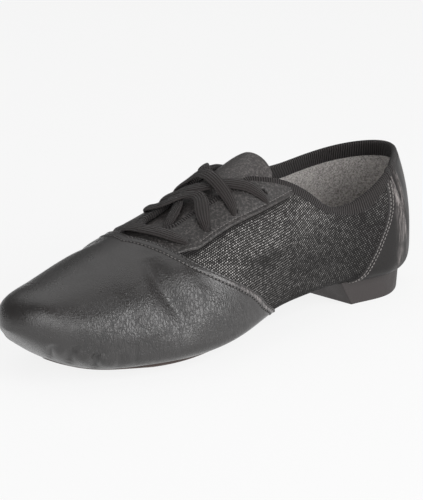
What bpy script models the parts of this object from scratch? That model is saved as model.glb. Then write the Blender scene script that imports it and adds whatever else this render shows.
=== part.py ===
# Jazz shoe, left foot, modelled in metres with the toe along -Y and the outer side along +X.
# Every outer piece is a patch of one function, last_point, which is the outside of the upper.
import math

import bpy
import numpy as np

# Named sizes of the shoe
LENGTH = 0.246
BALL_WIDTH = 0.085
INSTEP = 0.080
HEEL_HEIGHT = 0.0108
HEEL_BACK_Y = 0.030

# Thicknesses and fits
WALL = 0.0016
VAMP_STEP = 0.0006
FIT = 0.0003
INNER_FIT = 0.0010
EDGE_FIT = 0.0013
OVERLAY = 0.0008
TAPE = 0.0006
TAPE_OUT = 0.0034
TAPE_IN = 0.0064
TONGUE_THICK = 0.0016
BOARD_THICK = 0.0012
INSOLE_THICK = 0.0014
SOLE_THICK = 0.0031
TONGUE_SKEW = 0.33
LACE_WIDTH = 0.0054
LACE_THICK = 0.0012
EYELET_RADIUS = 0.0017

# How far the flat pieces reach across the foot, as shares of the half width, and along it, as shares of LENGTH
BOARD_SHARE = 0.72
BOARD_REACH = (0.020, 0.932)
INSOLE_REACH = (0.022, 0.928)
SOLE_SHARE = 0.80
SOLE_REACH = (0.555, 0.940)
WINDOW_SHARE = 0.66
WINDOW_REACH = (0.035, 0.935)

# Heel block: its top's share of the half width, its taper to the ground and how its ends rake
HEEL_SHARE = 0.79
HEEL_TAPER = 0.955
BREAST_RAKE = 0.0085
BACK_RAKE = 0.0018

# Eyestay: its rear end along LENGTH, and the room it leaves to the vamp seam
EYESTAY_REAR = 0.418
SEAM_GAP = 0.0055

# How the heel end leans and tucks under
BACK_LEAN = 0.0155
BACK_TUCK = 0.005
TUCK_REACH = 0.30
BELLY_POWER = 2.1

# Landmarks along the shoe, as shares of LENGTH from the back of the heel
CORNER_AT = 0.494
CORNER_BLEND = 0.022
THROAT_TURN = 0.664
THROAT_END = 0.700
BREAST_AT = 0.262
LACE_ROWS = (0.679, 0.628, 0.557, 0.473)
EYELET_OFFSET = 0.0200

# One row a section: place along LENGTH, axis and half width in BALL_WIDTH, height of the underside in
# HEEL_HEIGHT, underside to widest point and widest point to ridge in INSTEP, crown and floor powers
SECTIONS = (
    # at, axis, half, lift, belly, crest, crown, floor
    (0.00, 0.000, 0.000, 0.86, 0.305, 0.750, 0.50, 6.5),
    (0.05, 0.003, 0.250, 0.88, 0.280, 0.705, 0.50, 6.5),
    (0.14, 0.020, 0.378, 0.94, 0.236, 0.765, 0.50, 6.5),
    (0.26, 0.006, 0.358, 1.01, 0.214, 0.831, 0.52, 6.2),
    (0.38, 0.025, 0.366, 1.07, 0.191, 0.805, 0.53, 5.0),
    (0.50, 0.049, 0.399, 0.98, 0.167, 0.716, 0.54, 4.0),
    (0.62, 0.044, 0.481, 0.56, 0.166, 0.594, 0.52, 3.8),
    (0.72, 0.011, 0.500, 0.28, 0.183, 0.505, 0.50, 3.8),
    (0.82, -0.033, 0.456, 0.31, 0.176, 0.408, 0.51, 3.8),
    (0.91, -0.082, 0.343, 0.58, 0.180, 0.274, 0.50, 3.8),
    (1.00, -0.134, 0.000, 2.32, 0.000, 0.000, 0.50, 3.8),
)

# Height of the collar's edge in INSTEP, outer and inner side of the foot
COLLAR = (
    # at, outer side, inner side
    (0.000, 0.864, 0.864),
    (0.076, 0.846, 0.834),
    (0.127, 0.812, 0.811),
    (0.168, 0.762, 0.795),
    (0.210, 0.706, 0.783),
    (0.250, 0.668, 0.781),
    (0.290, 0.662, 0.790),
    (0.325, 0.698, 0.806),
    (0.360, 0.783, 0.838),
    (0.400, 0.868, 0.880),
    (0.440, 0.922, 0.924),
    (0.500, 0.958, 0.958),
)

# Half gap of the throat in BALL_WIDTH, behind its round front end
THROAT = (
    # at, half gap
    (0.470, 0.170),
    (0.500, 0.163),
    (0.570, 0.138),
    (0.620, 0.116),
    (0.664, 0.114),
    (0.700, 0.114),
)

# Vamp seam: place along LENGTH for each girth, which is the angle in degrees above the widest point
# and, below it, the share of the way down to the underside times -DOWN_GIRTH
DOWN_GIRTH = 18.0
VAMP_SEAM = (
    # girth, at
    (-18.0, 0.470),
    (-14.0, 0.484),
    (-10.8, 0.497),
    (-3.2, 0.529),
    (4.5, 0.556),
    (23.0, 0.626),
    (46.0, 0.691),
    (63.0, 0.713),
    (79.0, 0.727),
    (90.0, 0.735),
)

# Lower border of the eyestay: angle round the section for each place along LENGTH
EYESTAY_BORDER = (
    # at, angle in degrees
    (0.370, 37.0),
    (0.440, 38.5),
    (0.508, 42.0),
    (0.612, 51.0),
    (0.697, 51.0),
    (0.730, 51.0),
)

# Front border of the heel counter: place along LENGTH for each girth
COUNTER_BORDER = (
    # girth, at
    (-18.0, 0.252),
    (-15.2, 0.247),
    (-11.0, 0.234),
    (-5.0, 0.216),
    (1.0, 0.199),
    (8.5, 0.177),
    (16.0, 0.161),
    (30.0, 0.156),
    (60.0, 0.156),
)

# Tongue: half width in BALL_WIDTH and sinking below the upper's outside in INSTEP
TONGUE = (
    # at, half width, sinking
    (0.436, 0.000, 0.066),
    (0.441, 0.105, 0.065),
    (0.451, 0.160, 0.064),
    (0.466, 0.192, 0.061),
    (0.485, 0.208, 0.057),
    (0.515, 0.213, 0.051),
    (0.560, 0.210, 0.046),
    (0.620, 0.200, 0.045),
    (0.680, 0.190, 0.045),
    (0.755, 0.170, 0.043),
)


def natural_spline(knots, values, x):
    """Natural cubic spline through rows of values, at x."""
    count = len(knots)
    step = np.diff(knots)
    slope = np.diff(values, axis=0) / step[:, None]
    matrix = np.eye(count)
    right = np.zeros_like(values)
    for k in range(1, count - 1):
        matrix[k, k - 1:k + 2] = step[k - 1], 2 * (step[k - 1] + step[k]), step[k]
        right[k] = 6 * (slope[k] - slope[k - 1])
    bend = np.linalg.solve(matrix, right)
    k = np.clip(np.searchsorted(knots, x) - 1, 0, count - 2)
    h = step[k][..., None]
    a = (knots[k + 1] - x)[..., None]
    b = (x - knots[k])[..., None]
    curved = (bend[k] * a ** 3 + bend[k + 1] * b ** 3) / (6 * h)
    straight = (values[k] / h - bend[k] * h / 6) * a + (values[k + 1] / h - bend[k + 1] * h / 6) * b
    return curved + straight


def spline_column(table, column, x):
    """One column of a short table as a smooth curve of its first column."""
    rows = np.array(table, float)
    x = np.clip(np.asarray(x, float), rows[0, 0], rows[-1, 0])
    return natural_spline(rows[:, 0], rows[:, column:column + 1], x)[..., 0]


# The section table in metres, its rows spaced by their way along the outline and mirrored past both ends
TABLE = np.array(SECTIONS) * np.array([LENGTH, BALL_WIDTH, BALL_WIDTH, HEEL_HEIGHT, INSTEP, INSTEP, 1, 1])
WAY = np.append(0.0, np.cumsum(np.hypot(np.diff(TABLE[:, 0]), np.diff(TABLE[:, 2]))))
MIRRORED = 3
KNOTS = np.concatenate([
    -WAY[MIRRORED:0:-1],
    WAY,
    2 * WAY[-1] - WAY[-2:-MIRRORED - 2:-1],
]) / WAY[-1]
VALUES = np.vstack([
    TABLE[MIRRORED:0:-1] * np.array([1, 1, -1, 1, 1, 1, 1, 1]),
    TABLE,
    TABLE[-2:-MIRRORED - 2:-1] * np.array([1, 1, -1, 1, -1, -1, 1, 1]),
])
DENSE_U = np.linspace(0, 1, 801)
DENSE_AT = np.maximum.accumulate(natural_spline(KNOTS, VALUES, DENSE_U)[:, 0]) / LENGTH


def section(u):
    """Section values at share u of the outline; a negative u is the inner side of the foot."""
    u = np.asarray(u, float)
    row = natural_spline(KNOTS, VALUES, np.abs(u))
    row[..., 2] = row[..., 2] * np.where(u < 0, -1.0, 1.0)
    return row


def u_of(at):
    """Share of the outline at a share of LENGTH."""
    return np.interp(at, DENSE_AT, DENSE_U)


def at_of(u):
    """Share of LENGTH at a share of the outline."""
    return np.interp(np.abs(u), DENSE_U, DENSE_AT)


def last_point(u, ring):
    """Outside of the upper. ring runs from -pi/2 underneath over 0 at the outer side to pi/2 at the ridge."""
    u, ring = np.broadcast_arrays(np.asarray(u, float), np.asarray(ring, float))
    at, axis, half, lift, belly, crest, crown, floor = np.moveaxis(section(u), -1, 0)
    high = np.sin(ring) >= 0
    rise = np.abs(np.sin(ring))
    spread = np.abs(np.cos(ring))
    share = np.where(high, rise ** (2 / BELLY_POWER), rise ** (2 / floor))
    width = np.where(high, spread ** (2 * crown), spread)
    x = axis + np.sign(np.cos(ring)) * half * width
    z = lift + belly + np.where(high, crest * share, -belly * share)
    fade = np.clip(1 - at / (TUCK_REACH * LENGTH), 0, 1) ** 2
    shift = fade * np.where(high, BACK_LEAN * share ** 2, BACK_TUCK * share ** 4)
    return np.stack([x, HEEL_BACK_Y - at - shift, z], -1)


def unit(vectors):
    """Vectors scaled to length one."""
    return vectors / np.maximum(np.linalg.norm(vectors, axis=-1, keepdims=True), 1e-12)


def tangents(u, ring):
    """Steps of the surface along u and along ring."""
    h = 0.0015
    along = (last_point(u + h, ring) - last_point(u - h, ring)) / (2 * h)
    across = (last_point(u, ring + h) - last_point(u, ring - h)) / (2 * h)
    return along, across


def outward(u, ring):
    """Unit normal of the outside of the upper."""
    u, ring = np.broadcast_arrays(np.asarray(u, float), np.asarray(ring, float))
    along, across = tangents(np.clip(u, -0.996, 0.996), ring)
    normal = unit(np.cross(across, along))
    tip = np.array([-0.25, -0.97, 0.0])
    return np.where((np.abs(u) > 0.999)[..., None], tip, normal)


def shifted(u, ring, offset):
    """Point at a distance outside the upper; a negative offset is inside it."""
    return last_point(u, ring) + outward(u, ring) * np.asarray(offset)[..., None]


def ring_for_gap(u, gap):
    """Angle at which the section's upper half is gap away from its axis."""
    row = section(np.abs(u))
    share = np.clip(gap / np.maximum(row[..., 2], 1e-6), 0, 1)
    return np.arccos(share ** (1 / (2 * row[..., 6])))


def ring_for_height(u, height):
    """Angle at which the section's upper half reaches a height."""
    row = section(np.abs(u))
    share = np.clip((height - row[..., 3] - row[..., 4]) / np.maximum(row[..., 5], 1e-6), 0, 1)
    return np.arcsin(share ** (BELLY_POWER / 2))


def throat_gap(at):
    """Half gap between the two eyestays, closing in a round front end."""
    gap = spline_column(THROAT, 1, at) * BALL_WIDTH
    front = np.clip((at - THROAT_TURN) / (THROAT_END - THROAT_TURN), 0, 1)
    return gap * np.sqrt(np.clip(1 - front ** 2, 0, 1))


def top_ring(u, side):
    """Angle of the upper's top edge; side 1 is the outer side, -1 the inner side."""
    at = at_of(u)
    collar = ring_for_height(u, spline_column(COLLAR, 1 if side > 0 else 2, at) * INSTEP)
    throat = ring_for_gap(u, throat_gap(at))
    blend = np.clip((at - CORNER_AT) / CORNER_BLEND * 0.5 + 0.5, 0, 1)
    blend = blend * blend * (3 - 2 * blend)
    ring = collar * (1 - blend) + throat * blend
    return np.where(at >= THROAT_END, math.pi / 2, ring)


def on_side(ring, side):
    """The same angle on the outer side or mirrored to the inner side."""
    return ring if side > 0 else math.pi - ring


def rounded(u, start, end, start_length, end_length):
    """Share of the width that rounds off a flat piece at both of its ends."""
    first = np.clip((u - start) / start_length, 0, 1)
    last = np.clip((end - u) / end_length, 0, 1)
    return np.sqrt(np.clip(1 - (1 - first) ** 2, 0, 1)) * np.sqrt(np.clip(1 - (1 - last) ** 2, 0, 1))


def floor_ring(share):
    """Angle under the foot for a signed share of the half width."""
    ring = -np.arccos(np.clip(np.abs(share), 0, 1))
    return np.where(share >= 0, ring, math.pi - ring)


def facing_out(points, faces):
    """The same faces, turned round where they would enclose a negative volume."""
    volume = 0.0
    for f in faces:
        for k in range(1, len(f) - 1):
            volume += np.dot(points[f[0]], np.cross(points[f[k]], points[f[k + 1]]))
    return faces if volume > 0 else [list(reversed(f)) for f in faces]


def make_object(name, points, faces, material):
    """Mesh object from points and faces."""
    faces = facing_out(points, faces)
    mesh = bpy.data.meshes.new(name)
    mesh.from_pydata([tuple(p) for p in points.tolist()], [], faces)
    mesh.validate()
    mesh.materials.append(material)
    obj = bpy.data.objects.new(name, mesh)
    bpy.context.scene.collection.objects.link(obj)
    return obj


def make_material(name, colour, roughness):
    """Plain material of one sub-part."""
    material = bpy.data.materials.new(name)
    material.use_nodes = True
    shader = material.node_tree.nodes["Principled BSDF"]
    shader.inputs["Base Color"].default_value = (*colour, 1.0)
    shader.inputs["Roughness"].default_value = roughness
    shader.inputs["Metallic"].default_value = 0.0
    return material


def grid_quads(index):
    """Faces of a grid of vertex numbers, without the corners that fall together."""
    faces = []
    for i in range(index.shape[0] - 1):
        for j in range(index.shape[1] - 1):
            loop = [index[i, j], index[i + 1, j], index[i + 1, j + 1], index[i, j + 1]]
            kept = [int(v) for k, v in enumerate(loop) if v != loop[k - 1]]
            if len(set(kept)) >= 3 and len(set(kept)) == len(kept):
                faces.append(kept)
    return faces


def split_folds(faces):
    """Cut in two, from their common corner, the four-sided faces that share three corners at a fold."""
    triples = {}
    for number, face in enumerate(faces):
        for k in range(len(face)):
            key = frozenset((face[k - 2], face[k - 1], face[k]))
            triples.setdefault(key, []).append((number, face[k - 1]))
    middle = {}
    for entries in triples.values():
        if len(entries) == 2 and entries[0][1] == entries[1][1]:
            middle.update(entries)
    cut = []
    for number, face in enumerate(faces):
        if number in middle and len(face) == 4:
            k = face.index(middle[number])
            turned = face[k:] + face[:k]
            cut += [turned[:3], [turned[0], turned[2], turned[3]]]
        else:
            cut.append(face)
    return cut


def solid_between(name, outer, inner, material):
    """Closed solid between matching grids of outer and inner points; grids that touch are welded."""
    both = np.concatenate([np.concatenate([o.reshape(-1, 3), i.reshape(-1, 3)], axis=1)
                           for o, i in zip(outer, inner)])
    keys, number = np.unique(np.round(both * 2e6).astype(np.int64), axis=0, return_inverse=True)
    number = number.reshape(-1)
    count = len(keys)
    points = np.zeros((2 * count, 3))
    points[number] = both[:, :3]
    points[number + count] = both[:, 3:]
    faces = []
    start = 0
    for grid in outer:
        size = grid.shape[0] * grid.shape[1]
        faces += grid_quads(number[start:start + size].reshape(grid.shape[:2]))
        start += size
    faces = split_folds(faces)
    edges = {(f[k - 1], f[k]) for f in faces for k in range(len(f))}
    rim = [(a, b) for a, b in edges if (b, a) not in edges]
    under = [[v + count for v in reversed(f)] for f in faces]
    sides = [[b, a, a + count, b + count] for a, b in rim]
    return make_object(name, points, faces + under + sides, material)


def box_between(name, top, bottom, material):
    """Closed solid of one patch of the upper's function, top outside and bottom inside."""
    return solid_between(name, [top], [bottom], material)


def cut_holes(obj, cutters):
    """Subtract hidden cutters from an object."""
    for cutter in cutters:
        modifier = obj.modifiers.new("hole", 'BOOLEAN')
        modifier.operation = 'DIFFERENCE'
        modifier.solver = 'EXACT'
        modifier.object = cutter


def round_bar(name, centre, direction, radius, length, sides=10):
    """Hidden round cutter along a direction."""
    axis = unit(direction)
    first = unit(np.cross(axis, [0.0, 1.0, 0.0]))
    second = np.cross(axis, first)
    turn = np.linspace(0, 2 * math.pi, sides, endpoint=False) + 0.13
    circle = np.cos(turn)[:, None] * first + np.sin(turn)[:, None] * second
    low = centre + circle * radius - axis * length / 2
    high = centre + circle * radius + axis * length / 2
    points = np.concatenate([low, high])
    faces = [list(range(sides - 1, -1, -1)), list(range(sides, 2 * sides))]
    faces += [[k, (k + 1) % sides, sides + (k + 1) % sides, sides + k] for k in range(sides)]
    obj = make_object(name, points, faces, PLAIN)
    obj.hide_render = True
    obj.display_type = 'WIRE'
    return obj


# Sizes of the grids
UPPER_STATIONS = 48
UPPER_ROWS = 15
THROAT_STATION = 32
SEAM_STATION = 35
ROUND_STATIONS = 5
LOW_ROWS = 0.4


def row_ring(u, under_share, high_ring, row_share):
    """Angle of each row: closest together round the feather edge, then evenly by angle to the top edge."""
    floor = section(u)[..., 7]
    depth = (1 - under_share ** 2) ** (1 / floor) * np.cos(np.clip(row_share / LOW_ROWS, 0, 1) * math.pi / 2)
    low = -np.arcsin(np.clip(depth, 0, 1) ** (floor / 2))
    high = high_ring * np.clip((row_share - LOW_ROWS) / (1 - LOW_ROWS), 0, 1)
    return np.where(row_share < LOW_ROWS, low, high)


def girth_of(u, ring):
    """Angle in degrees above the widest point; below it the share of the way down, times -DOWN_GIRTH."""
    down = np.abs(np.sin(np.minimum(ring, 0))) ** (2 / section(u)[..., 7])
    return np.where(ring >= 0, np.degrees(ring), -DOWN_GIRTH * down)


def station_us(row_share):
    """Stations of the upper for each share of the way from the underside to the top edge."""
    middle = np.full_like(row_share, u_of(0.6))
    ring = row_ring(middle, 0.66, math.pi / 2, row_share)
    seam = u_of(spline_column(VAMP_SEAM, 1, girth_of(middle, ring)))
    ridge = u_of(VAMP_SEAM[-1][1])
    throat = u_of(THROAT_END) * seam / ridge
    turn = np.radians(np.linspace(0, 90, ROUND_STATIONS + 1)[1:])
    legs = np.linspace(0, u_of(THROAT_TURN), THROAT_STATION - ROUND_STATIONS + 1)
    arc = u_of(THROAT_TURN + (THROAT_END - THROAT_TURN) * np.sin(turn))
    crowded = np.append(legs, arc)[:, None] / u_of(THROAT_END)
    even = np.linspace(0, 1, THROAT_STATION + 1)[:, None]
    near_edge = np.clip((row_share - 0.8) / 0.2, 0, 1)
    heel_part = (even + (crowded - even) * near_edge) * throat
    strip = throat + (seam - throat) * np.linspace(0, 1, SEAM_STATION - THROAT_STATION + 1)[1:, None]
    toe_count = UPPER_STATIONS - SEAM_STATION
    front = seam + 0.0012 + (1 - seam - 0.0012) * np.linspace(0, 1, toe_count)[:, None]
    return np.concatenate([heel_part, strip, front])


def window_share(u):
    """Half width of the opening underneath, as a share of the half width."""
    return WINDOW_SHARE * rounded(u, u_of(WINDOW_REACH[0]), u_of(WINDOW_REACH[1]), 0.09, 0.13)


def build_upper(material):
    """The upper: vamp and quarters as one hollow wall, stepped at the vamp seam, open at both edges."""
    row_share = np.linspace(0, 1, UPPER_ROWS + 1)
    stations = station_us(row_share)
    raised = np.arange(stations.shape[0]) > SEAM_STATION
    outer = []
    inner = []
    for side in (1, -1):
        high = top_ring(stations[:, -1], side)[:, None]
        ring = row_ring(stations, window_share(stations), high, row_share)
        fade = np.clip((np.degrees(ring) + 36) / 14, 0, 1)
        step = np.where(raised, VAMP_STEP, 0.0)[:, None] * fade
        ring = on_side(ring, side)
        out_points = shifted(stations, ring, step)
        in_points = shifted(stations, ring, np.full_like(stations, -WALL))
        out_points[-1] = out_points[-1].mean(axis=0)
        in_points[-1] = in_points[-1].mean(axis=0)
        if side < 0:
            out_points = out_points[:, ::-1]
            in_points = in_points[:, ::-1]
        outer.append(out_points)
        inner.append(in_points)
    return solid_between("upper", outer, inner, material)


def surface_step(u, ring, move):
    """Move over the surface by a small 3D step, given in its own tangent plane."""
    along, across = tangents(u, ring)
    aa = (along * along).sum(-1)
    ab = (along * across).sum(-1)
    bb = (across * across).sum(-1)
    ma = (move * along).sum(-1)
    mb = (move * across).sum(-1)
    det = aa * bb - ab * ab
    return u + (ma * bb - mb * ab) / det, ring + (mb * aa - ma * ab) / det


def topline():
    """The top edge as one closed loop of places on the surface, from the throat round the heel."""
    turn = np.radians(np.linspace(90, 0, ROUND_STATIONS + 1))
    arc = u_of(THROAT_TURN + (THROAT_END - THROAT_TURN) * np.sin(turn))
    u = np.append(arc, np.linspace(u_of(THROAT_TURN), 0, THROAT_STATION - ROUND_STATIONS + 1)[1:])
    outer = top_ring(u, 1)
    inner = math.pi - top_ring(u, -1)
    outer[0] = math.pi / 2
    all_u = np.concatenate([u, u[-2:0:-1]])
    all_ring = np.concatenate([outer, inner[-2:0:-1]])
    return all_u, all_ring


def edge_inset(u, ring, distance):
    """Places on the surface at a distance below a closed edge."""
    points = last_point(u, ring)
    tangent = unit(np.roll(points, -1, axis=0) - np.roll(points, 1, axis=0))
    inwards = unit(np.cross(tangent, outward(u, ring)))
    steps = 3
    for _ in range(steps):
        u, ring = surface_step(u, ring, inwards * distance / steps)
        inwards = unit(inwards - outward(u, ring) * (inwards * outward(u, ring)).sum(-1, keepdims=True))
    return u, ring


def build_binding(material):
    """Ribbed tape folded over the whole top edge, a channel with a short outer and a long inner leg."""
    u, ring = topline()
    edge = last_point(u, ring)
    normal = outward(u, ring)
    tangent = unit(np.roll(edge, -1, axis=0) - np.roll(edge, 1, axis=0))
    beyond = -unit(np.cross(tangent, normal))
    out_u, out_ring = edge_inset(u, ring, TAPE_OUT)
    mid_u, mid_ring = edge_inset(u, ring, TAPE_IN / 2)
    in_u, in_ring = edge_inset(u, ring, TAPE_IN)
    full = np.ones_like(u)
    profile = [
        shifted(out_u, out_ring, full * (1.8 * FIT + TAPE)),
        edge + normal * (FIT + TAPE),
        edge + normal * FIT * 0.6 + beyond * (EDGE_FIT + TAPE),
        edge - normal * (WALL + FIT * 0.6) + beyond * (EDGE_FIT + TAPE),
        edge - normal * (WALL + INNER_FIT + TAPE),
        shifted(mid_u, mid_ring, full * -(WALL + INNER_FIT + TAPE)),
        shifted(in_u, in_ring, full * -(WALL + INNER_FIT + TAPE)),
        shifted(in_u, in_ring, full * -(WALL + INNER_FIT)),
        shifted(mid_u, mid_ring, full * -(WALL + INNER_FIT)),
        edge - normal * (WALL + INNER_FIT) + beyond * EDGE_FIT,
        edge + normal * FIT + beyond * EDGE_FIT,
        shifted(out_u, out_ring, full * 1.8 * FIT),
    ]
    points = np.stack(profile, axis=1)
    loops, corners = points.shape[:2]
    faces = []
    for i in range(loops):
        for j in range(corners):
            a = i * corners + j
            b = i * corners + (j + 1) % corners
            c = (i + 1) % loops * corners + (j + 1) % corners
            d = (i + 1) % loops * corners + j
            faces.append([a, b, c, d])
    return make_object("topline_binding", points.reshape(-1, 3), faces, material)


def build_eyestay(material):
    """Leather facing round the throat in one piece, from collar to collar round the throat's front end."""
    margin = TAPE_OUT + 3 * FIT
    turns = 7
    rear = np.linspace(EYESTAY_REAR, THROAT_TURN, 17)
    front = np.linspace(0, math.pi / 2, turns)[1:]
    leg_u = u_of(rear)
    legs = {}
    for side in (1, -1):
        u, ring = topline()
        inset_u, inset_ring = edge_inset(u, ring, margin)
        half_count = len(u) // 2 + 1
        if side > 0:
            inset_u = inset_u[:half_count]
            inset_ring = inset_ring[:half_count]
        else:
            inset_u = np.append(inset_u[:half_count - 2:-1], inset_u[half_count - 1])
            inset_ring = math.pi - np.append(inset_ring[:half_count - 2:-1], inset_ring[half_count - 1])
        order = np.argsort(inset_u)
        legs[side] = np.interp(leg_u, inset_u[order], inset_ring[order])
    grids_u = []
    grids_ring = []
    across = np.linspace(0, 1, 7)
    reach = (THROAT_END - THROAT_TURN) + margin / LENGTH
    for side in (1, -1):
        low = np.radians(spline_column(EYESTAY_BORDER, 1, rear))
        inner_ring = np.maximum(legs[side], low + 0.03)
        leg_rings = inner_ring[:, None] + (low - inner_ring)[:, None] * across
        leg_us = leg_u[:, None] * np.ones_like(across)
        arc_at = THROAT_TURN + reach * np.sin(front)
        arc_gap = (spline_column(THROAT, 1, THROAT_TURN) * BALL_WIDTH + margin) * np.cos(front)
        arc_u = u_of(arc_at)
        arc_ring = ring_for_gap(arc_u, arc_gap)
        share = np.linspace(0, 1, turns)[1:]
        border_ring = np.radians(51 + 39 * share ** 1.1)
        seam_at = spline_column(VAMP_SEAM, 1, np.degrees(border_ring)) - SEAM_GAP
        corner = np.clip(share * 4, 0, 1)
        border_u = u_of(THROAT_TURN + (seam_at - THROAT_TURN) * corner)
        front_us = arc_u[:, None] + (border_u - arc_u)[:, None] * across
        front_rings = arc_ring[:, None] + (border_ring - arc_ring)[:, None] * across
        us = np.concatenate([leg_us, front_us])
        rings = np.concatenate([leg_rings, front_rings])
        rings = on_side(rings, side)
        if side < 0:
            us = us[::-1]
            rings = rings[::-1]
        grids_u.append(us)
        grids_ring.append(rings)
    us = np.concatenate([grids_u[0], grids_u[1][1:]])
    rings = np.concatenate([grids_ring[0], grids_ring[1][1:]])
    top = shifted(us, rings, np.full_like(us, FIT + OVERLAY))
    bottom = shifted(us, rings, np.full_like(us, FIT))
    return box_between("eyestay", top, bottom, material)


def build_counter(material):
    """Leather counter wrapped round the back of the heel, from side to side."""
    across = np.linspace(-1, 1, 23)
    share = np.linspace(0, 1, 13)[:, None] * np.ones_like(across)
    edge_u, edge_ring = topline()
    inset_u, inset_ring = edge_inset(edge_u, edge_ring, TAPE_OUT + FIT + 0.0004)
    half_count = len(edge_u) // 2 + 1
    signed_u = np.where(np.arange(len(edge_u)) < half_count, inset_u, -inset_u)
    signed_ring = np.where(np.arange(len(edge_u)) < half_count, inset_ring, math.pi - inset_ring)
    order = np.argsort(signed_u)
    top_at_u = np.interp(across * u_of(0.158), signed_u[order], signed_ring[order])
    ring = row_ring(across * u_of(0.158), 0.845, top_at_u, share)
    u = across * u_of(spline_column(COUNTER_BORDER, 1, girth_of(across * u_of(0.158), ring)))
    top_at_u = np.interp(u, signed_u[order], signed_ring[order])
    ring = row_ring(u, 0.845, top_at_u, share)
    top = shifted(u, ring, np.full_like(u, 1.5 * FIT + OVERLAY))
    bottom = shifted(u, ring, np.full_like(u, 1.5 * FIT))
    return box_between("heel_counter", top, bottom, material)


def build_tongue(material):
    """Soft tongue that lies under both eyestays and rises as a round lobe behind them."""
    start = TONGUE[0][0]
    end = TONGUE[-1][0]
    share = np.linspace(0, 1, 17)
    at = start + (end - start) * share ** 1.8
    across = np.linspace(-1, 1, 13)
    half = spline_column(TONGUE, 1, at) * BALL_WIDTH
    skew = TONGUE_SKEW * half[:, None] * across / LENGTH * (1 - share[:, None])
    u = u_of(at[:, None] - skew)
    droop = np.clip((np.abs(across) - 0.50) / 0.35, 0, 1)
    droop = droop * droop * (3 - 2 * droop)
    middle = spline_column(TONGUE, 2, at)[:, None] * INSTEP
    sink = middle + (np.maximum(middle, WALL + INNER_FIT + TAPE + FIT) - middle) * droop
    ring = ring_for_gap(u, np.abs(across) * half[:, None])
    ring = np.where(across >= 0, ring, math.pi - ring)
    top = shifted(u, ring, -sink)
    bottom = shifted(u, ring, -sink - TONGUE_THICK)
    return box_between("tongue", top[:, ::-1], bottom[:, ::-1], material)


def floor_grid(u, width, offset):
    """Grid of points under the foot, a signed share of the half width across."""
    across = np.linspace(-1, 1, 9)
    share = width[:, None] * across
    us = u[:, None] * np.ones_like(across)
    return shifted(us, floor_ring(share), np.full_like(us, offset))


def build_board(material):
    """Insole board inside the shoe, lying over the upper's turned-in margin and closing its underside."""
    u = np.linspace(u_of(BOARD_REACH[0]), u_of(BOARD_REACH[1]), 31)
    width = BOARD_SHARE * rounded(u, u[0], u[-1], 0.10, 0.13)
    top = floor_grid(u, width, -(WALL + 1.5 * FIT))
    bottom = floor_grid(u, width, -(WALL + 1.5 * FIT + BOARD_THICK))
    return box_between("insole_board", top, bottom, material)


def build_insole(material):
    """Felt footbed lying on the insole board."""
    u = np.linspace(u_of(INSOLE_REACH[0]), u_of(INSOLE_REACH[1]), 31)
    width = BOARD_SHARE * rounded(u, u[0], u[-1], 0.10, 0.13)
    depth = WALL + BOARD_THICK + 2.5 * FIT
    top = floor_grid(u, width, -depth)
    bottom = floor_grid(u, width, -depth - INSOLE_THICK)
    return box_between("insole", top, bottom, material)


def build_sole(material):
    """Forefoot sole with a flat spot on the ground under the ball."""
    u = np.linspace(u_of(SOLE_REACH[0]), u_of(SOLE_REACH[1]), 25)
    width = SOLE_SHARE * rounded(u, u[0], u[-1], 0.09, 0.15)
    top = floor_grid(u, width, FIT)
    bottom = floor_grid(u, width, FIT + SOLE_THICK)
    bottom[..., 2] = np.maximum(bottom[..., 2], 0.0)
    return box_between("forefoot_sole", bottom, top, material)


def build_heel(material):
    """Low heel block, dished on top to the upper, flat on the ground, with a raked breast."""
    u = np.linspace(0, u_of(BREAST_AT), 13)
    width = HEEL_SHARE + 0.02 * (1 - u / u[-1]) ** 2
    top = floor_grid(u, width, FIT)
    back = top[0, 0, 1]
    front = top[-1, 4, 1]
    share = (back - top[..., 1]) / (back - front)
    bottom = top.copy()
    bottom[..., 0] = top[..., 0] * HEEL_TAPER
    rake = BREAST_RAKE * np.clip(share, 0, 1) ** 1.5 - BACK_RAKE * (1 - np.clip(share, 0, 1))
    bottom[..., 1] = top[..., 1] + rake
    bottom[..., 2] = 0.0
    return box_between("heel_block", bottom, top, material)


def lace_path(first, second, hump, count=15):
    """Centre line of a lace over the throat, between two eyelets given as place and side."""
    share = np.linspace(0, 1, count)
    start_ring = on_side(ring_for_gap(u_of(first[0]), EYELET_OFFSET), first[1])
    end_ring = on_side(ring_for_gap(u_of(second[0]), EYELET_OFFSET), second[1])
    u = u_of(first[0] + (second[0] - first[0]) * share)
    ring = start_ring + (end_ring - start_ring) * share
    height = 2 * FIT + OVERLAY + TAPE + LACE_THICK / 2 + hump * np.sin(math.pi * share) ** 2
    return shifted(u, ring, height), outward(u, ring)


def lace_solid(name, first, second, hump, material):
    """Flat lace between two eyelets."""
    centre, normal = lace_path(first, second, hump)
    tangent = unit(np.gradient(centre, axis=0))
    side = unit(np.cross(normal, tangent))
    normal = np.cross(tangent, side)
    share = np.linspace(0, 1, len(centre))
    half = LACE_WIDTH / 2 * (0.62 + 0.38 * np.sin(math.pi * share) ** 0.5)[:, None]
    across = np.linspace(-1, 1, 4)
    thin = LACE_THICK / 2 * (1 - 0.25 * across ** 2)
    top = centre[:, None] + side[:, None] * (across[:, None] * half[:, None]) \
        + normal[:, None] * thin[:, None]
    bottom = centre[:, None] + side[:, None] * (across[:, None] * half[:, None]) \
        - normal[:, None] * thin[:, None]
    return box_between(name, bottom, top, material)


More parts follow.
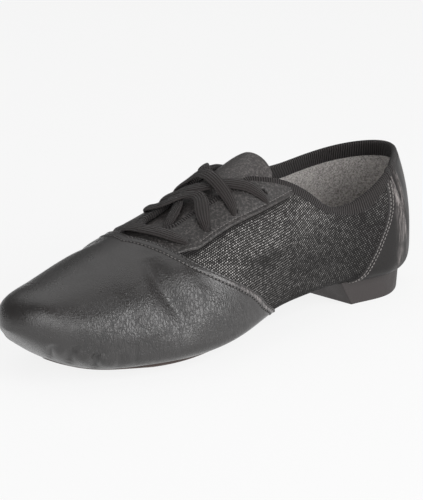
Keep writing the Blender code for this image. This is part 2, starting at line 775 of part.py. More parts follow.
def build_laces(material):
    """Two straight bars and, behind them, one crossing joined into a single piece."""
    lace_solid("lace_bar_front", (LACE_ROWS[0], 1), (LACE_ROWS[0], -1), 0.0, material)
    lace_solid("lace_bar_second", (LACE_ROWS[1], 1), (LACE_ROWS[1], -1), 0.0012, material)
    under = lace_solid("lace_under", (LACE_ROWS[3], 1), (LACE_ROWS[2], -1), 0.0, material)
    cross = lace_solid("lace_cross", (LACE_ROWS[2], 1), (LACE_ROWS[3], -1), 0.0009, material)
    under.hide_render = True
    under.display_type = 'WIRE'
    joined = cross.modifiers.new("crossing", 'BOOLEAN')
    joined.operation = 'UNION'
    joined.solver = 'EXACT'
    joined.object = under


def eyelet_cutters():
    """One cutter for each punched eyelet, square to the surface."""
    cutters = []
    for row, at in enumerate(LACE_ROWS):
        for side in (1, -1):
            u = u_of(at)
            ring = on_side(ring_for_gap(u, EYELET_OFFSET), side)
            centre = last_point(u, ring)
            name = "eyelet_cutter_%d_%s" % (row + 1, "outer" if side > 0 else "inner")
            cutters.append(round_bar(name, centre, outward(u, ring), EYELET_RADIUS, 0.009))
    return cutters


for old in list(bpy.data.objects):
    bpy.data.objects.remove(old, do_unlink=True)

MESH_CLOTH = make_material("mesh_and_leather", (0.075, 0.067, 0.066), 0.62)
SUEDE = make_material("eyestay_leather", (0.082, 0.074, 0.071), 0.58)
SMOOTH = make_material("counter_leather", (0.066, 0.058, 0.058), 0.42)
RIBBED = make_material("binding_tape", (0.040, 0.036, 0.037), 0.85)
SOFT = make_material("tongue_leather", (0.096, 0.088, 0.084), 0.66)
PANEL = make_material("board_leather", (0.050, 0.044, 0.043), 0.60)
FELT = make_material("footbed_felt", (0.120, 0.108, 0.100), 0.95)
RUBBER = make_material("sole_rubber", (0.030, 0.025, 0.023), 0.75)
HEEL = make_material("heel_rubber", (0.052, 0.045, 0.044), 0.62)
CORD = make_material("lace_cotton", (0.060, 0.055, 0.054), 0.88)
PLAIN = make_material("cutter", (0.5, 0.5, 0.5), 0.5)

upper_object = build_upper(MESH_CLOTH)
build_binding(RIBBED)
eyestay_object = build_eyestay(SUEDE)
build_counter(SMOOTH)
build_tongue(SOFT)
build_board(PANEL)
build_insole(FELT)
build_sole(RUBBER)
build_heel(HEEL)
build_laces(CORD)
holes = eyelet_cutters()
cut_holes(upper_object, holes)
cut_holes(eyestay_object, holes)
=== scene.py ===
"""Looks of a left jazz shoe: leather vamp, mesh quarters, bound topline, tongue, laces, split sole.

Every outer piece is worked out from one surface, the outside of the last, as a function of a share
of the outline and an angle round the section. A piece is a grid on that surface, lifted by its own
thickness, with creases as soft troughs and ridges placed by hand.
"""

import math

import bmesh
import bpy
import numpy as np
from bpy.props import FloatProperty, FloatVectorProperty, PointerProperty
from mathutils import Matrix, Vector


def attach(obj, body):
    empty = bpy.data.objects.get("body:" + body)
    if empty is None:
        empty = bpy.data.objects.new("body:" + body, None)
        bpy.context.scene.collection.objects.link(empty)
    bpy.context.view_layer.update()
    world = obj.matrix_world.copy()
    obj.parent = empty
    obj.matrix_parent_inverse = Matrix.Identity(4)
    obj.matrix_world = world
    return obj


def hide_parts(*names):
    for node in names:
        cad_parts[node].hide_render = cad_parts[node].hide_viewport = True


bl_info = {
    "name": "Jazz Shoe Looks",
    "version": (1, 0, 0),
    "blender": (4, 5, 0),
    "location": "View3D > Sidebar > Shoe",
    "description": "Builds the leather, mesh, tape, laces and stitches of a jazz shoe",
    "category": "Add Mesh",
}

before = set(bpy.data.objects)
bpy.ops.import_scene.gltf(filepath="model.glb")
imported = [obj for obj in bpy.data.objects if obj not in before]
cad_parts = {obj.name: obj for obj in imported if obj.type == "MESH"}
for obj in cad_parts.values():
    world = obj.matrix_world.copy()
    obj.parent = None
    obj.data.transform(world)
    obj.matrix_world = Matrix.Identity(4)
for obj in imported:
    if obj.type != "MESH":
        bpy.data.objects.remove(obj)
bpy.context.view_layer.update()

# Named sizes of the shoe, in metres
LENGTH = 0.246
BALL_WIDTH = 0.085
INSTEP = 0.080
HEEL_HEIGHT = 0.0108
HEEL_BACK_Y = 0.030
MM = 0.001

# Layers of the upper, heights over the outside of the last
LINING_DEPTH = 1.3 * MM
VAMP_LIFT = 0.75 * MM
EYESTAY_LIFT = 1.0 * MM
COUNTER_LIFT = 0.9 * MM
TAPE_LIFT = 0.85 * MM
TAPE_IN = 7.0 * MM
TAPE_THICK = 0.8 * MM
BOARD_DEPTH = 3.0 * MM
INSOLE_THICK = 1.9 * MM
SOLE_THICK = 3.1 * MM

# How the heel end leans and tucks under
BACK_LEAN = 0.0155
BACK_TUCK = 0.005
TUCK_REACH = 0.30
BELLY_POWER = 2.1

# Landmarks along the shoe, as shares of LENGTH from the back of the heel
CORNER_AT = 0.494
CORNER_BLEND = 0.022
THROAT_TURN = 0.664
THROAT_END = 0.700
BREAST_AT = 0.262

# The last: lengths as shares of the named sizes
SECTIONS = (
    # at, axis, half, lift, belly, crest, crown, floor
    (0.00, 0.000, 0.000, 0.86, 0.305, 0.750, 0.50, 6.5),
    (0.05, 0.003, 0.250, 0.88, 0.280, 0.705, 0.50, 6.5),
    (0.14, 0.020, 0.378, 0.94, 0.236, 0.765, 0.50, 6.5),
    (0.26, 0.006, 0.358, 1.01, 0.214, 0.831, 0.52, 6.2),
    (0.38, 0.025, 0.366, 1.07, 0.191, 0.805, 0.53, 5.0),
    (0.50, 0.049, 0.399, 0.98, 0.167, 0.716, 0.54, 4.0),
    (0.62, 0.044, 0.481, 0.56, 0.166, 0.594, 0.52, 3.8),
    (0.72, 0.011, 0.500, 0.28, 0.183, 0.505, 0.50, 3.8),
    (0.82, -0.033, 0.456, 0.31, 0.176, 0.408, 0.51, 3.8),
    (0.91, -0.082, 0.343, 0.58, 0.180, 0.274, 0.50, 3.8),
    (1.00, -0.134, 0.000, 2.32, 0.000, 0.000, 0.50, 3.8),
)

# Height of the collar's edge in INSTEP
COLLAR = (
    # at, outer side, inner side
    (0.000, 0.864, 0.864),
    (0.076, 0.846, 0.834),
    (0.127, 0.812, 0.811),
    (0.168, 0.762, 0.795),
    (0.210, 0.706, 0.783),
    (0.250, 0.668, 0.781),
    (0.290, 0.662, 0.790),
    (0.325, 0.698, 0.806),
    (0.360, 0.783, 0.838),
    (0.400, 0.868, 0.880),
    (0.440, 0.922, 0.924),
    (0.500, 0.958, 0.958),
)

# Half gap of the throat in BALL_WIDTH, behind its round front end
THROAT = (
    # at, half gap
    (0.470, 0.170),
    (0.500, 0.163),
    (0.570, 0.138),
    (0.620, 0.116),
    (0.664, 0.114),
    (0.700, 0.114),
)

# How far the tape reaches down outside
TAPE_OUT = (
    # at, millimetres
    (0.000, 3.6),
    (0.080, 3.6),
    (0.160, 4.2),
    (0.200, 5.8),
    (0.235, 6.0),
    (0.270, 3.6),
    (0.300, 2.4),
    (0.350, 3.0),
    (0.420, 4.2),
    (0.480, 4.6),
    (0.560, 4.2),
    (0.700, 4.0),
)

# Vamp seam: place along LENGTH for each girth, which is the angle in degrees above the widest point
# and, below it, the share of the way down to the underside times -DOWN_GIRTH
DOWN_GIRTH = 18.0
VAMP_SEAM = (
    # girth, at
    (-18.0, 0.470),
    (-14.0, 0.484),
    (-10.8, 0.497),
    (-3.2, 0.529),
    (4.5, 0.556),
    (23.0, 0.626),
    (46.0, 0.691),
    (63.0, 0.713),
    (79.0, 0.727),
    (90.0, 0.735),
)

# Lower border of the eyestay
EYESTAY_BORDER = (
    # at, angle in degrees
    (0.370, 37.0),
    (0.440, 38.5),
    (0.508, 42.0),
    (0.612, 51.0),
    (0.697, 51.0),
    (0.730, 51.0),
)

# Front border of the heel counter: place along LENGTH for each girth
COUNTER_BORDER = (
    # girth, at
    (-18.0, 0.252),
    (-15.2, 0.247),
    (-11.0, 0.234),
    (-5.0, 0.216),
    (1.0, 0.199),
    (8.5, 0.177),
    (16.0, 0.161),
    (30.0, 0.156),
    (60.0, 0.156),
)

# Tongue: half width in millimetres and sinking under the last's outside in INSTEP
TONGUE = (
    # at, half width, sinking
    (0.436, 0.0, 0.064),
    (0.462, 17.6, 0.061),
    (0.480, 18.3, 0.058),
    (0.510, 18.0, 0.053),
    (0.560, 17.5, 0.048),
    (0.680, 16.0, 0.047),
    (0.755, 14.0, 0.045),
)
TONGUE_SKEW = 0.33
TONGUE_SHIFT = -2.6 * MM

# Creases of the upper as arcs over the surface; height below zero is a trough
CREASES = (
    # start at, angle, middle at, angle, end at, angle, height mm, half width mm
    (0.757, 66.0, 0.771, 40.0, 0.753, 8.0, -2.30, 4.8),
    (0.771, 36.0, 0.765, 24.0, 0.753, 9.0, -0.60, 2.4),
    (0.822, 46.0, 0.812, 26.0, 0.802, 4.0, 1.50, 6.0),
    (0.935, 12.0, 0.885, 27.0, 0.835, 27.0, 1.00, 6.5),
    (0.742, 52.0, 0.720, 32.0, 0.712, 10.0, 1.40, 5.5),
    (0.700, 20.0, 0.676, 11.0, 0.650, 4.0, 0.80, 5.0),
    (0.745, 15.0, 0.715, 20.0, 0.690, 26.0, -0.50, 3.0),
    (0.905, 6.0, 0.850, 9.0, 0.800, 2.0, 0.50, 4.0),
    (0.650, 26.0, 0.690, 29.0, 0.730, 38.0, -0.20, 2.8),
    (0.605, 10.0, 0.590, 3.0, 0.560, -5.0, -0.45, 1.4),
    (0.625, 12.0, 0.605, 3.0, 0.580, -5.0, -0.40, 1.4),
    (0.645, 9.0, 0.630, 2.0, 0.610, -4.0, -0.30, 1.3),
    (0.955, 75.0, 0.962, 48.0, 0.958, 18.0, 0.35, 4.0),
    (0.760, 112.0, 0.775, 138.0, 0.758, 170.0, -1.30, 4.4),
    (0.830, 140.0, 0.818, 155.0, 0.805, 174.0, 0.80, 5.5),
    (0.735, 132.0, 0.715, 150.0, 0.706, 172.0, 0.80, 5.0),
    (0.590, 37.0, 0.520, 31.0, 0.430, 25.0, -0.60, 3.2),
    (0.600, 31.0, 0.490, 23.0, 0.380, 18.0, 0.70, 3.4),
    (0.580, 20.0, 0.470, 14.0, 0.350, 12.0, -0.60, 3.0),
    (0.400, 24.0, 0.330, 17.0, 0.260, 14.0, -0.50, 3.0),
    (0.520, 8.0, 0.410, 4.0, 0.300, 2.0, -0.40, 2.6),
    (0.570, 148.0, 0.480, 156.0, 0.380, 160.0, -0.50, 3.2),
    (0.152, 52.0, 0.128, 22.0, 0.098, -2.0, 0.70, 1.5),
    (0.140, 52.0, 0.114, 22.0, 0.086, -2.0, -0.70, 1.6),
    (0.122, 44.0, 0.100, 16.0, 0.110, -3.0, 0.45, 1.3),
)

# Painted highlight and shade streaks of the mesh along its folds
PAINTED_MESH_STREAKS = (
    # start at, angle, middle at, angle, end at, angle, amount in thousandths, half width mm
    (0.705, 43.0, 0.600, 42.0, 0.480, 35.0, 0.30, 5.0),
    (0.680, 33.0, 0.550, 28.0, 0.400, 20.0, 0.45, 4.5),
    (0.480, 31.0, 0.380, 25.0, 0.270, 21.0, 0.25, 6.0),
    (0.640, 22.0, 0.590, 14.0, 0.540, 1.0, 0.30, 4.0),
    (0.600, 31.0, 0.540, 21.0, 0.460, 15.0, -0.45, 3.4),
    (0.470, 9.0, 0.370, 4.0, 0.260, 1.0, -0.20, 7.0),
    (0.300, 30.0, 0.250, 20.0, 0.200, 8.0, -0.20, 6.0),
)

# Pleats where the vamp is drawn in under the toe
PLEATS = (
    # start at, angle, middle at, angle, end at, angle, height mm, half width mm
    (0.900, -4.0, 0.908, -16.0, 0.894, -42.0, -2.40, 1.7),
    (0.915, -16.0, 0.922, -22.0, 0.912, -40.0, 0.60, 2.2),
    (0.929, -5.0, 0.940, -20.0, 0.926, -50.0, -2.30, 1.6),
    (0.944, -18.0, 0.950, -30.0, 0.938, -56.0, 0.50, 2.0),
    (0.956, -14.0, 0.960, -36.0, 0.944, -66.0, -1.60, 1.5),
    (0.886, -14.0, 0.892, -18.0, 0.880, -36.0, 0.50, 2.0),
    (0.868, -6.0, 0.872, -14.0, 0.864, -34.0, -1.10, 1.5),
    (0.846, -0.2, 0.848, -6.0, 0.842, -30.0, -0.50, 1.3),
    (0.946, 230.0, 0.950, 212.0, 0.935, 196.0, 0.50, 1.9),
    (0.930, 230.0, 0.935, 208.0, 0.915, 190.0, -1.60, 1.6),
    (0.905, 222.0, 0.908, 202.0, 0.895, 188.0, -1.20, 1.5),
)

# Lighter lines of the heel counter along the ridges of its buckle: partly scuffs, partly painted highlight
SCUFFS_AND_HIGHLIGHTS = (
    # start at, angle, middle at, angle, end at, angle, amount, half width mm
    (0.152, 56.0, 0.128, 22.0, 0.096, -2.0, 1.00, 1.6),
    (0.128, 48.0, 0.104, 18.0, 0.130, -6.0, 0.80, 1.4),
    (0.140, 30.0, 0.128, 6.0, 0.138, -12.0, 0.60, 2.5),
)

# Where the vamp's leather is wrinkled finely
WRINKLED = (
    # at, angle in degrees, reach mm, amount
    (0.905, 12.0, 13.0, 0.70),
    (0.845, 18.0, 15.0, 0.95),
    (0.790, 10.0, 13.0, 0.90),
    (0.745, 32.0, 9.0, 0.60),
    (0.690, 14.0, 16.0, 0.85),
    (0.640, 4.0, 11.0, 0.50),
    (0.800, 165.0, 16.0, 0.60),
    (0.700, 165.0, 15.0, 0.50),
)

# The vamp seam: the section on which its girths are read, and its two stitch rows from the vamp's edge
SEAM_SECTION = 0.6
SEAM_ROWS = (1.3 * MM, 4.6 * MM)

# Welt between the two stitch rows: its middle, half width, soft side and rise
WELT_AT = 2.95 * MM
WELT_HALF = 1.6 * MM
WELT_SIDE = 0.5 * MM
WELT_RISE = 0.22 * MM

# Lighter strip of the welt: middle and half width, then middle and reach in degrees
PALE_STRIP_AT = 2.9 * MM
PALE_STRIP_HALF = 1.4 * MM
PALE_STRIP_ANGLE = 5.0
PALE_STRIP_REACH = 30.0

# Fine wrinkles of each piece where no form adds any, and the smoother strip along the vamp's edge
VAMP_CREASED = 0.06
EYESTAY_CREASED = 0.30
COUNTER_CREASED = 0.05
SMOOTH_EDGE = 4 * MM
SMOOTH_FADE = 3 * MM
SMOOTH_LEAST = 0.2

# Pleats fade out over this way before the toe's tip
CALM_REACH = 10 * MM

# Edges of the leather pieces: how wide they round off and how deep their last row tucks in
EDGE_ROUND = 0.7 * MM
VAMP_TUCK = 0.4 * MM
EDGE_TUCK = 0.3 * MM

# Pieces that run under the tape begin this far below the top edge
UNDER_TAPE = 2.0 * MM

# Sections on which the grids of the vamp, quarters and counter are spaced evenly
EVEN_VAMP = 0.80
EVEN_QUARTERS = 0.40
EVEN_COUNTER = 0.20

# Mesh quarters: how far they run under the vamp, in shares of the outline, then the angles of the hem
# at two places along LENGTH, below which the mesh is dark, and the angle in radians over which it opens
QUARTERS_UNDER = 0.008
HEM_AT = (0.27, 0.40)
HEM_DEGREES = (-40.0, -9.0)
HEM_FADE = 0.03

# Painted light and shade of the mesh: tone, its change up or down from the widest point, its fall towards the
# heel, where and over which share of LENGTH that fall comes, and the limits
MESH_TONE = 0.50
MESH_TONE_UP = 0.32
MESH_TONE_DEGREES = 30
MESH_TONE_BACK = 0.25
MESH_BACK_AT = 0.34
MESH_BACK_WAY = 0.12
MESH_TONES = (0.12, 1.3)

# Rows of the mesh follow the eyestay's border and, behind MAP_REAR, rise by MAP_SLOPE of the way back
MAP_REAR = 0.44
MAP_SLOPE = 0.30

# Shade on the mesh below the eyestay: rear end along LENGTH, then start and reach from the border in mm
SHADE_REAR = 0.43
SHADE_FROM = 0.4
SHADE_REACH = 1.6

# The lining's front end, and how it lies deeper towards the toe, clear of the pleats
LINING_END = 0.985
LINING_SINK = 2.6 * MM
LINING_SINK_AT = 0.70
LINING_SINK_WAY = 0.10

# Eyestay: rear end, rows of one leg, angle and curve of its front border, reach under the vamp, how
# quickly the border turns there, and the strip's least width in radians
EYESTAY_REAR = 0.412
EYESTAY_LEG = 150
FRONT_ANGLE = 51.0
FRONT_POWER = 1.1
EYESTAY_UNDER = 0.010
CORNER_SHARE = 5
LEAST_WIDTH = 0.02

# Folded lower edge of the eyestay, and how the strip thins out towards the vamp seam
FOLD_RISE = 0.35 * MM
FOLD_AT = 0.9 * MM
FOLD_HALF = 0.8 * MM
EYESTAY_THIN = 0.25 * MM
THIN_FROM = 0.8 * MM
THIN_WAY = 3.5 * MM

# Grooves along the stitch rows: depth and half width
VAMP_GROOVE = (0.25 * MM, 0.40 * MM)
EYESTAY_GROOVE = (0.18 * MM, 0.45 * MM)
COUNTER_GROOVE = (0.22 * MM, 0.40 * MM)

# Stitch rows of the eyestay and the counter, from the piece's border
EYESTAY_ROW = 2.6 * MM
COUNTER_ROWS = (1.5 * MM, 3.7 * MM)

# Stitches, and the dark pieces of painted shade in the needle holes: pitch, length and radius
VAMP_STITCH = (2.0 * MM, 1.15 * MM, 0.30 * MM)
VAMP_HOLE = (2.0 * MM, 1.00 * MM, 0.52 * MM)
EYESTAY_STITCH = (1.9 * MM, 1.50 * MM, 0.20 * MM)
COUNTER_STITCH = (1.9 * MM, 1.50 * MM, 0.24 * MM)
STITCH_RAISE = 0.02 * MM

# Needle holes: depth, shift in pitches and points left out at both ends of the row
HOLE_SINK = 0.12 * MM
HOLE_PHASE = 0.49
HOLE_TRIM = 4

# Edge tape: rows of its outer leg, fold and inner leg, share at which the legs start, share of the
# height that is left at the hem, flatness of the fold, and how close the inner hem lies to the lining
TAPE_OUT_ROWS = 8
TAPE_FOLD_ROWS = 9
TAPE_IN_ROWS = 9
TAPE_START = 0.12
TAPE_HEM = 0.35
TAPE_FLAT = 0.9
TAPE_TUCK = 0.1 * MM

# Heel counter: angle of its lower edge
COUNTER_LOW = -62

# Tongue: half thickness
TONGUE_HALF = 1.1 * MM

# Powers that square off the round sections of the tongue, the footbed and sole, and the lace
TONGUE_POWER = 0.8
PAD_POWER = 0.35
LACE_POWER = 0.7

# Footbed: reach along the shoe, share of the half width and how its two ends round off
FOOTBED_REACH = (0.006, 0.928)
FOOTBED_SHARE = 0.78
FOOTBED_ENDS = (0.08, 0.13)
FOOTBED_DEPTHS = ((0, 1), (-BOARD_DEPTH, -BOARD_DEPTH))

# Front sole: the same, its top, and its depths, which thin out towards the toe
SOLE_REACH = (0.555, 0.922)
SOLE_SHARE = 0.70
SOLE_ENDS = (0.09, 0.17)
SOLE_TOP = 0.1 * MM
SOLE_DEPTHS = ((0.78, 0.90), (SOLE_THICK, 0.35 * SOLE_THICK))

# Heel block: share of the half width, depth of the top under the last, draw of the sides, rake of the
# breast and its curve, rake of the back, and the share of the outline that one side takes
HEEL_SHARE = 0.79
HEEL_TOP = 0.2 * MM
HEEL_DRAW = 0.955
BREAST_RAKE = 8.5 * MM
BREAST_POWER = 1.5
BACK_RAKE = 1.8 * MM
HEEL_LEG = 0.4

# Lace: half thickness times half width, least half width, limits of the half thickness, bow across
# the width, and half the width of its map
LACE_AREA = 0.62 * MM * 3.0 * MM
LACE_LEAST = 1.2 * MM
LACE_THICK = (0.5 * MM, 1.2 * MM)
LACE_BOW = 0.25 * MM
LACE_MAP = 2.7 * MM

# Creases: reach in half widths, share at each end that keeps one height, and power of the fade to there
CREASE_REACH = 2.6
CREASE_END = 0.04
CREASE_FADE = 0.6

# From TIP_NEAR to the toe's tip the normal is the one at TIP_NEAR, and past TIP_FROM it is TIP_NORMAL
TIP_NEAR = 0.996
TIP_FROM = 0.999
TIP_NORMAL = (-0.25, -0.97, 0.0)

# Heights of the finishes' bumps
PEBBLE_BUMP = 0.018 * MM
PORE_BUMP = 0.030 * MM
WRINKLE_BUMP = 0.080 * MM
CRACKLE_BUMP = 0.040 * MM
MESH_BUMP = 0.22 * MM
TAPE_RIB_BUMP = 0.45 * MM
TAPE_FIBRE_BUMP = 0.08 * MM
CORD_BUMP = 0.30 * MM
WEAVE_BUMP = 0.10 * MM
FELT_BUMP = 0.50 * MM
SUEDE_BUMP = 0.30 * MM
RUBBER_BUMP = 0.12 * MM

# Eyelets of one side: places along LENGTH, distance from the axis, radius and punched depth
EYELETS = (0.683, 0.630, 0.562, 0.480)
EYELET_GAP = 20.5 * MM
EYELET_RADIUS = 1.5 * MM
EYELET_DEPTH = 1.3 * MM

# The camera that the photograph was taken with
CAMERA = {
    "azimuth": 43.854,
    "elevation": 16.486,
    "roll": -0.9745,
    "distance": 1.2,
    "focal_px": 2503.62,
    "target": (-0.002439, -0.096536, 0.038289),
}
PHOTO_SIZE = (423, 500)

# Lights, aimed at a place near the shoe's middle
LIGHTS = (
    # name, size in metres, share of the key light's power, place
    ("top_light", 1.80, 0.66, (-0.46, 0.25, 1.45)),
    ("side_light", 1.20, 2.10, (1.25, 0.05, 0.50)),
    ("front_light", 1.00, 0.62, (0.60, -1.20, 0.50)),
)
LIGHT_TARGET = (0.0, -0.09, 0.03)
FLOOR_HALF = 3.0


# Small curves and measures

def smooth_step(share):
    """Soft step 3 s^2 - 2 s^3 of a share from 0 to 1."""
    return share * share * (3 - 2 * share)


def quarter_round(share):
    """Height of a rounded edge at a share of its width: sqrt(1 - (1 - share)^2)."""
    share = np.clip(share, 0, 1)
    return np.sqrt(np.clip(1 - (1 - share) ** 2, 0, 1))


def bell(away, centre, width):
    """Bell curve exp(-((away - centre)/width)^2)."""
    return np.exp(-((away - centre) / width) ** 2)


def squared_off(wave, power):
    """Sine or cosine drawn out towards the corners of a box: its size to a power, with its sign."""
    return np.sign(wave) * np.abs(wave) ** power


def way_along(points):
    """Distance along a line of points, from 0 at the first."""
    return np.append(0.0, np.cumsum(np.linalg.norm(np.diff(points, axis=0), axis=1)))


def read_along(x, way, rows):
    """Rows of three numbers read at places x along a way."""
    return np.stack([np.interp(x, way, rows[:, k]) for k in range(3)], axis=-1)


# Curves through the tables

def natural_spline(knots, values, x):
    """Natural cubic spline through rows of values, at x."""
    count = len(knots)
    step = np.diff(knots)
    slope = np.diff(values, axis=0) / step[:, None]
    matrix = np.eye(count)
    right = np.zeros_like(values)
    for k in range(1, count - 1):
        matrix[k, k - 1:k + 2] = step[k - 1], 2 * (step[k - 1] + step[k]), step[k]
        right[k] = 6 * (slope[k] - slope[k - 1])
    bend = np.linalg.solve(matrix, right)
    k = np.clip(np.searchsorted(knots, x) - 1, 0, count - 2)
    h = step[k][..., None]
    a = (knots[k + 1] - x)[..., None]
    b = (x - knots[k])[..., None]
    curved = (bend[k] * a ** 3 + bend[k + 1] * b ** 3) / (6 * h)
    straight = (values[k] / h - bend[k] * h / 6) * a + (values[k + 1] / h - bend[k + 1] * h / 6) * b
    return curved + straight


def spline_column(table, column, x):
    """One column of a short table as a smooth curve of its first column."""
    rows = np.array(table, float)
    x = np.clip(np.asarray(x, float), rows[0, 0], rows[-1, 0])
    return natural_spline(rows[:, 0], rows[:, column:column + 1], x)[..., 0]


TABLE = np.array(SECTIONS) * np.array([LENGTH, BALL_WIDTH, BALL_WIDTH, HEEL_HEIGHT, INSTEP, INSTEP, 1, 1])
WAY = np.append(0.0, np.cumsum(np.hypot(np.diff(TABLE[:, 0]), np.diff(TABLE[:, 2]))))
MIRRORED = 3
KNOTS = np.concatenate([
    -WAY[MIRRORED:0:-1],
    WAY,
    2 * WAY[-1] - WAY[-2:-MIRRORED - 2:-1],
]) / WAY[-1]
VALUES = np.vstack([
    TABLE[MIRRORED:0:-1] * np.array([1, 1, -1, 1, 1, 1, 1, 1]),
    TABLE,
    TABLE[-2:-MIRRORED - 2:-1] * np.array([1, 1, -1, 1, -1, -1, 1, 1]),
])
DENSE_U = np.linspace(0, 1, 801)
DENSE_AT = np.maximum.accumulate(natural_spline(KNOTS, VALUES, DENSE_U)[:, 0]) / LENGTH


# The outside of the last

def section(u):
    """Section values at share u of the outline; a negative u is the inner side of the foot."""
    u = np.asarray(u, float)
    row = natural_spline(KNOTS, VALUES, np.abs(u))
    row[..., 2] = row[..., 2] * np.where(u < 0, -1.0, 1.0)
    return row


def u_of(at):
    """Share of the outline at a share of LENGTH."""
    return np.interp(at, DENSE_AT, DENSE_U)


def at_of(u):
    """Share of LENGTH at a share of the outline."""
    return np.interp(np.abs(u), DENSE_U, DENSE_AT)


def last_point(u, ring):
    """Outside of the last. ring runs from -pi/2 underneath over 0 at the outer side to pi/2 at the ridge.

    Above the widest point x is axis + half cos^(2 crown), z rises by crest sin^(2/2.1); below it x is
    axis + half cos and z falls by belly sin^(2/floor). The heel end leans and tucks along y.
    """
    u, ring = np.broadcast_arrays(np.asarray(u, float), np.asarray(ring, float))
    at, axis, half, lift, belly, crest, crown, floor = np.moveaxis(section(u), -1, 0)
    high = np.sin(ring) >= 0
    rise = np.abs(np.sin(ring))
    spread = np.abs(np.cos(ring))
    share = np.where(high, rise ** (2 / BELLY_POWER), rise ** (2 / floor))
    width = np.where(high, spread ** (2 * crown), spread)
    x = axis + np.sign(np.cos(ring)) * half * width
    z = lift + belly + np.where(high, crest * share, -belly * share)
    fade = np.clip(1 - at / (TUCK_REACH * LENGTH), 0, 1) ** 2
    shift = fade * np.where(high, BACK_LEAN * share ** 2, BACK_TUCK * share ** 4)
    return np.stack([x, HEEL_BACK_Y - at - shift, z], -1)


def unit(vectors):
    """Vectors scaled to length one."""
    return vectors / np.maximum(np.linalg.norm(vectors, axis=-1, keepdims=True), 1e-12)


def tangents(u, ring):
    """Steps of the surface along u and along ring."""
    h = 0.0015
    along = (last_point(u + h, ring) - last_point(u - h, ring)) / (2 * h)
    across = (last_point(u, ring + h) - last_point(u, ring - h)) / (2 * h)
    return along, across


def outward(u, ring):
    """Unit normal of the outside of the last."""
    u, ring = np.broadcast_arrays(np.asarray(u, float), np.asarray(ring, float))
    along, across = tangents(np.clip(u, -TIP_NEAR, TIP_NEAR), ring)
    normal = unit(np.cross(across, along))
    return np.where((np.abs(u) > TIP_FROM)[..., None], np.array(TIP_NORMAL), normal)


def ring_for_gap(u, gap):
    """Angle at which the section's upper half is gap away from its axis."""
    row = section(np.abs(u))
    share = np.clip(gap / np.maximum(row[..., 2], 1e-6), 0, 1)
    return np.arccos(share ** (1 / (2 * row[..., 6])))


def ring_for_height(u, height):
    """Angle at which the section's upper half reaches a height."""
    row = section(np.abs(u))
    share = np.clip((height - row[..., 3] - row[..., 4]) / np.maximum(row[..., 5], 1e-6), 0, 1)
    return np.arcsin(share ** (BELLY_POWER / 2))


def throat_gap(at):
    """Half gap between the two eyestays, closing in a round front end."""
    gap = spline_column(THROAT, 1, at) * BALL_WIDTH
    front = np.clip((at - THROAT_TURN) / (THROAT_END - THROAT_TURN), 0, 1)
    return gap * np.sqrt(np.clip(1 - front ** 2, 0, 1))


def top_ring(u, side):
    """Angle of the upper's top edge; side 1 is the outer side, -1 the inner side."""
    at = at_of(u)
    collar = ring_for_height(u, spline_column(COLLAR, 1 if side > 0 else 2, at) * INSTEP)
    throat = ring_for_gap(u, throat_gap(at))
    blend = smooth_step(np.clip((at - CORNER_AT) / CORNER_BLEND * 0.5 + 0.5, 0, 1))
    ring = collar * (1 - blend) + throat * blend
    return np.where(at >= THROAT_END, math.pi / 2, ring)


def top_ring_both(u):
    """Angle of the upper's top edge at signed shares of the outline, taken as on the outer side."""
    return np.where(u < 0, top_ring(np.abs(u), -1), top_ring(np.abs(u), 1))


def on_side(ring, side):
    """The same angle on the outer side or mirrored to the inner side."""
    return ring if side > 0 else math.pi - ring


def outer_twin(ring):
    """Angles of the inner side brought over to the outer side."""
    return np.where(ring > math.pi / 2, math.pi - ring, ring)


def girth_of(u, ring):
    """Angle in degrees above the widest point; below it the share of the way down, times -DOWN_GIRTH."""
    down = np.abs(np.sin(np.minimum(ring, 0))) ** (2 / section(u)[..., 7])
    return np.where(ring >= 0, np.degrees(ring), -DOWN_GIRTH * down)


def rounded(u, start, end, start_length, end_length):
    """Share of the width that rounds off a flat piece at both of its ends."""
    return quarter_round((u - start) / start_length) * quarter_round((end - u) / end_length)


def vamp_seam_at(ring):
    """Place of the vamp seam along LENGTH at angles of the outer side."""
    return spline_column(VAMP_SEAM, 1, girth_of(np.full_like(ring, u_of(SEAM_SECTION)), ring))


def floor_ring(share):
    """Angle under the foot for a signed share of the half width."""
    ring = -np.arccos(np.clip(np.abs(share), 0, 1))
    return np.where(share >= 0, ring, math.pi - ring)


def ring_of_girth(u, girth):
    """Angle for a girth, which is the share of the way down times -DOWN_GIRTH below the widest point."""
    down = np.clip(-girth / DOWN_GIRTH, 0, 1) ** (section(u)[..., 7] / 2)
    return np.where(girth >= 0, np.radians(girth), -np.arcsin(down))


def way_up(u, ring):
    """Way along the section from the widest point up to an angle, read between rows of a dense table."""
    shares = np.linspace(0, 0.8, 161)
    girths = np.append(np.linspace(-DOWN_GIRTH, 0, 91)[:-1], np.linspace(0, 90, 181))
    grid_u = shares[:, None] + 0 * girths
    points = last_point(grid_u, ring_of_girth(grid_u, girths + 0 * grid_u))
    way = np.cumsum(np.linalg.norm(np.diff(points, axis=1), axis=2), axis=1)
    way = np.concatenate([np.zeros((len(shares), 1)), way], axis=1)
    way = way - way[:, 90:91]
    row = np.clip(np.abs(u) / shares[1], 0, len(shares) - 1.001)
    column = np.interp(girth_of(u, ring), girths, np.arange(len(girths)))
    column = np.clip(column, 0, len(girths) - 1.001)
    i = row.astype(int)
    j = column.astype(int)
    a = row - i
    b = column - j
    near = way[i, j] * (1 - b) + way[i, j + 1] * b
    far = way[i + 1, j] * (1 - b) + way[i + 1, j + 1] * b
    return near * (1 - a) + far * a


def way_table(at):
    """Angles from the underside to the ridge and the way along the section to each of them."""
    girth = np.append(np.linspace(-DOWN_GIRTH, 0, 361)[:-1], np.linspace(0, 90, 361))
    ring = ring_of_girth(np.full_like(girth, u_of(at)), girth)
    points = last_point(np.full_like(ring, u_of(at)), ring)
    return ring, way_along(points)


def even_ring(at, start, end, share):
    """Angle at a share of the way along one section, between a start and an end angle."""
    ring, way = way_table(at)
    first = np.interp(start, ring, way)
    last = np.interp(end, ring, way)
    return np.interp(first + (last - first) * share, way, ring)


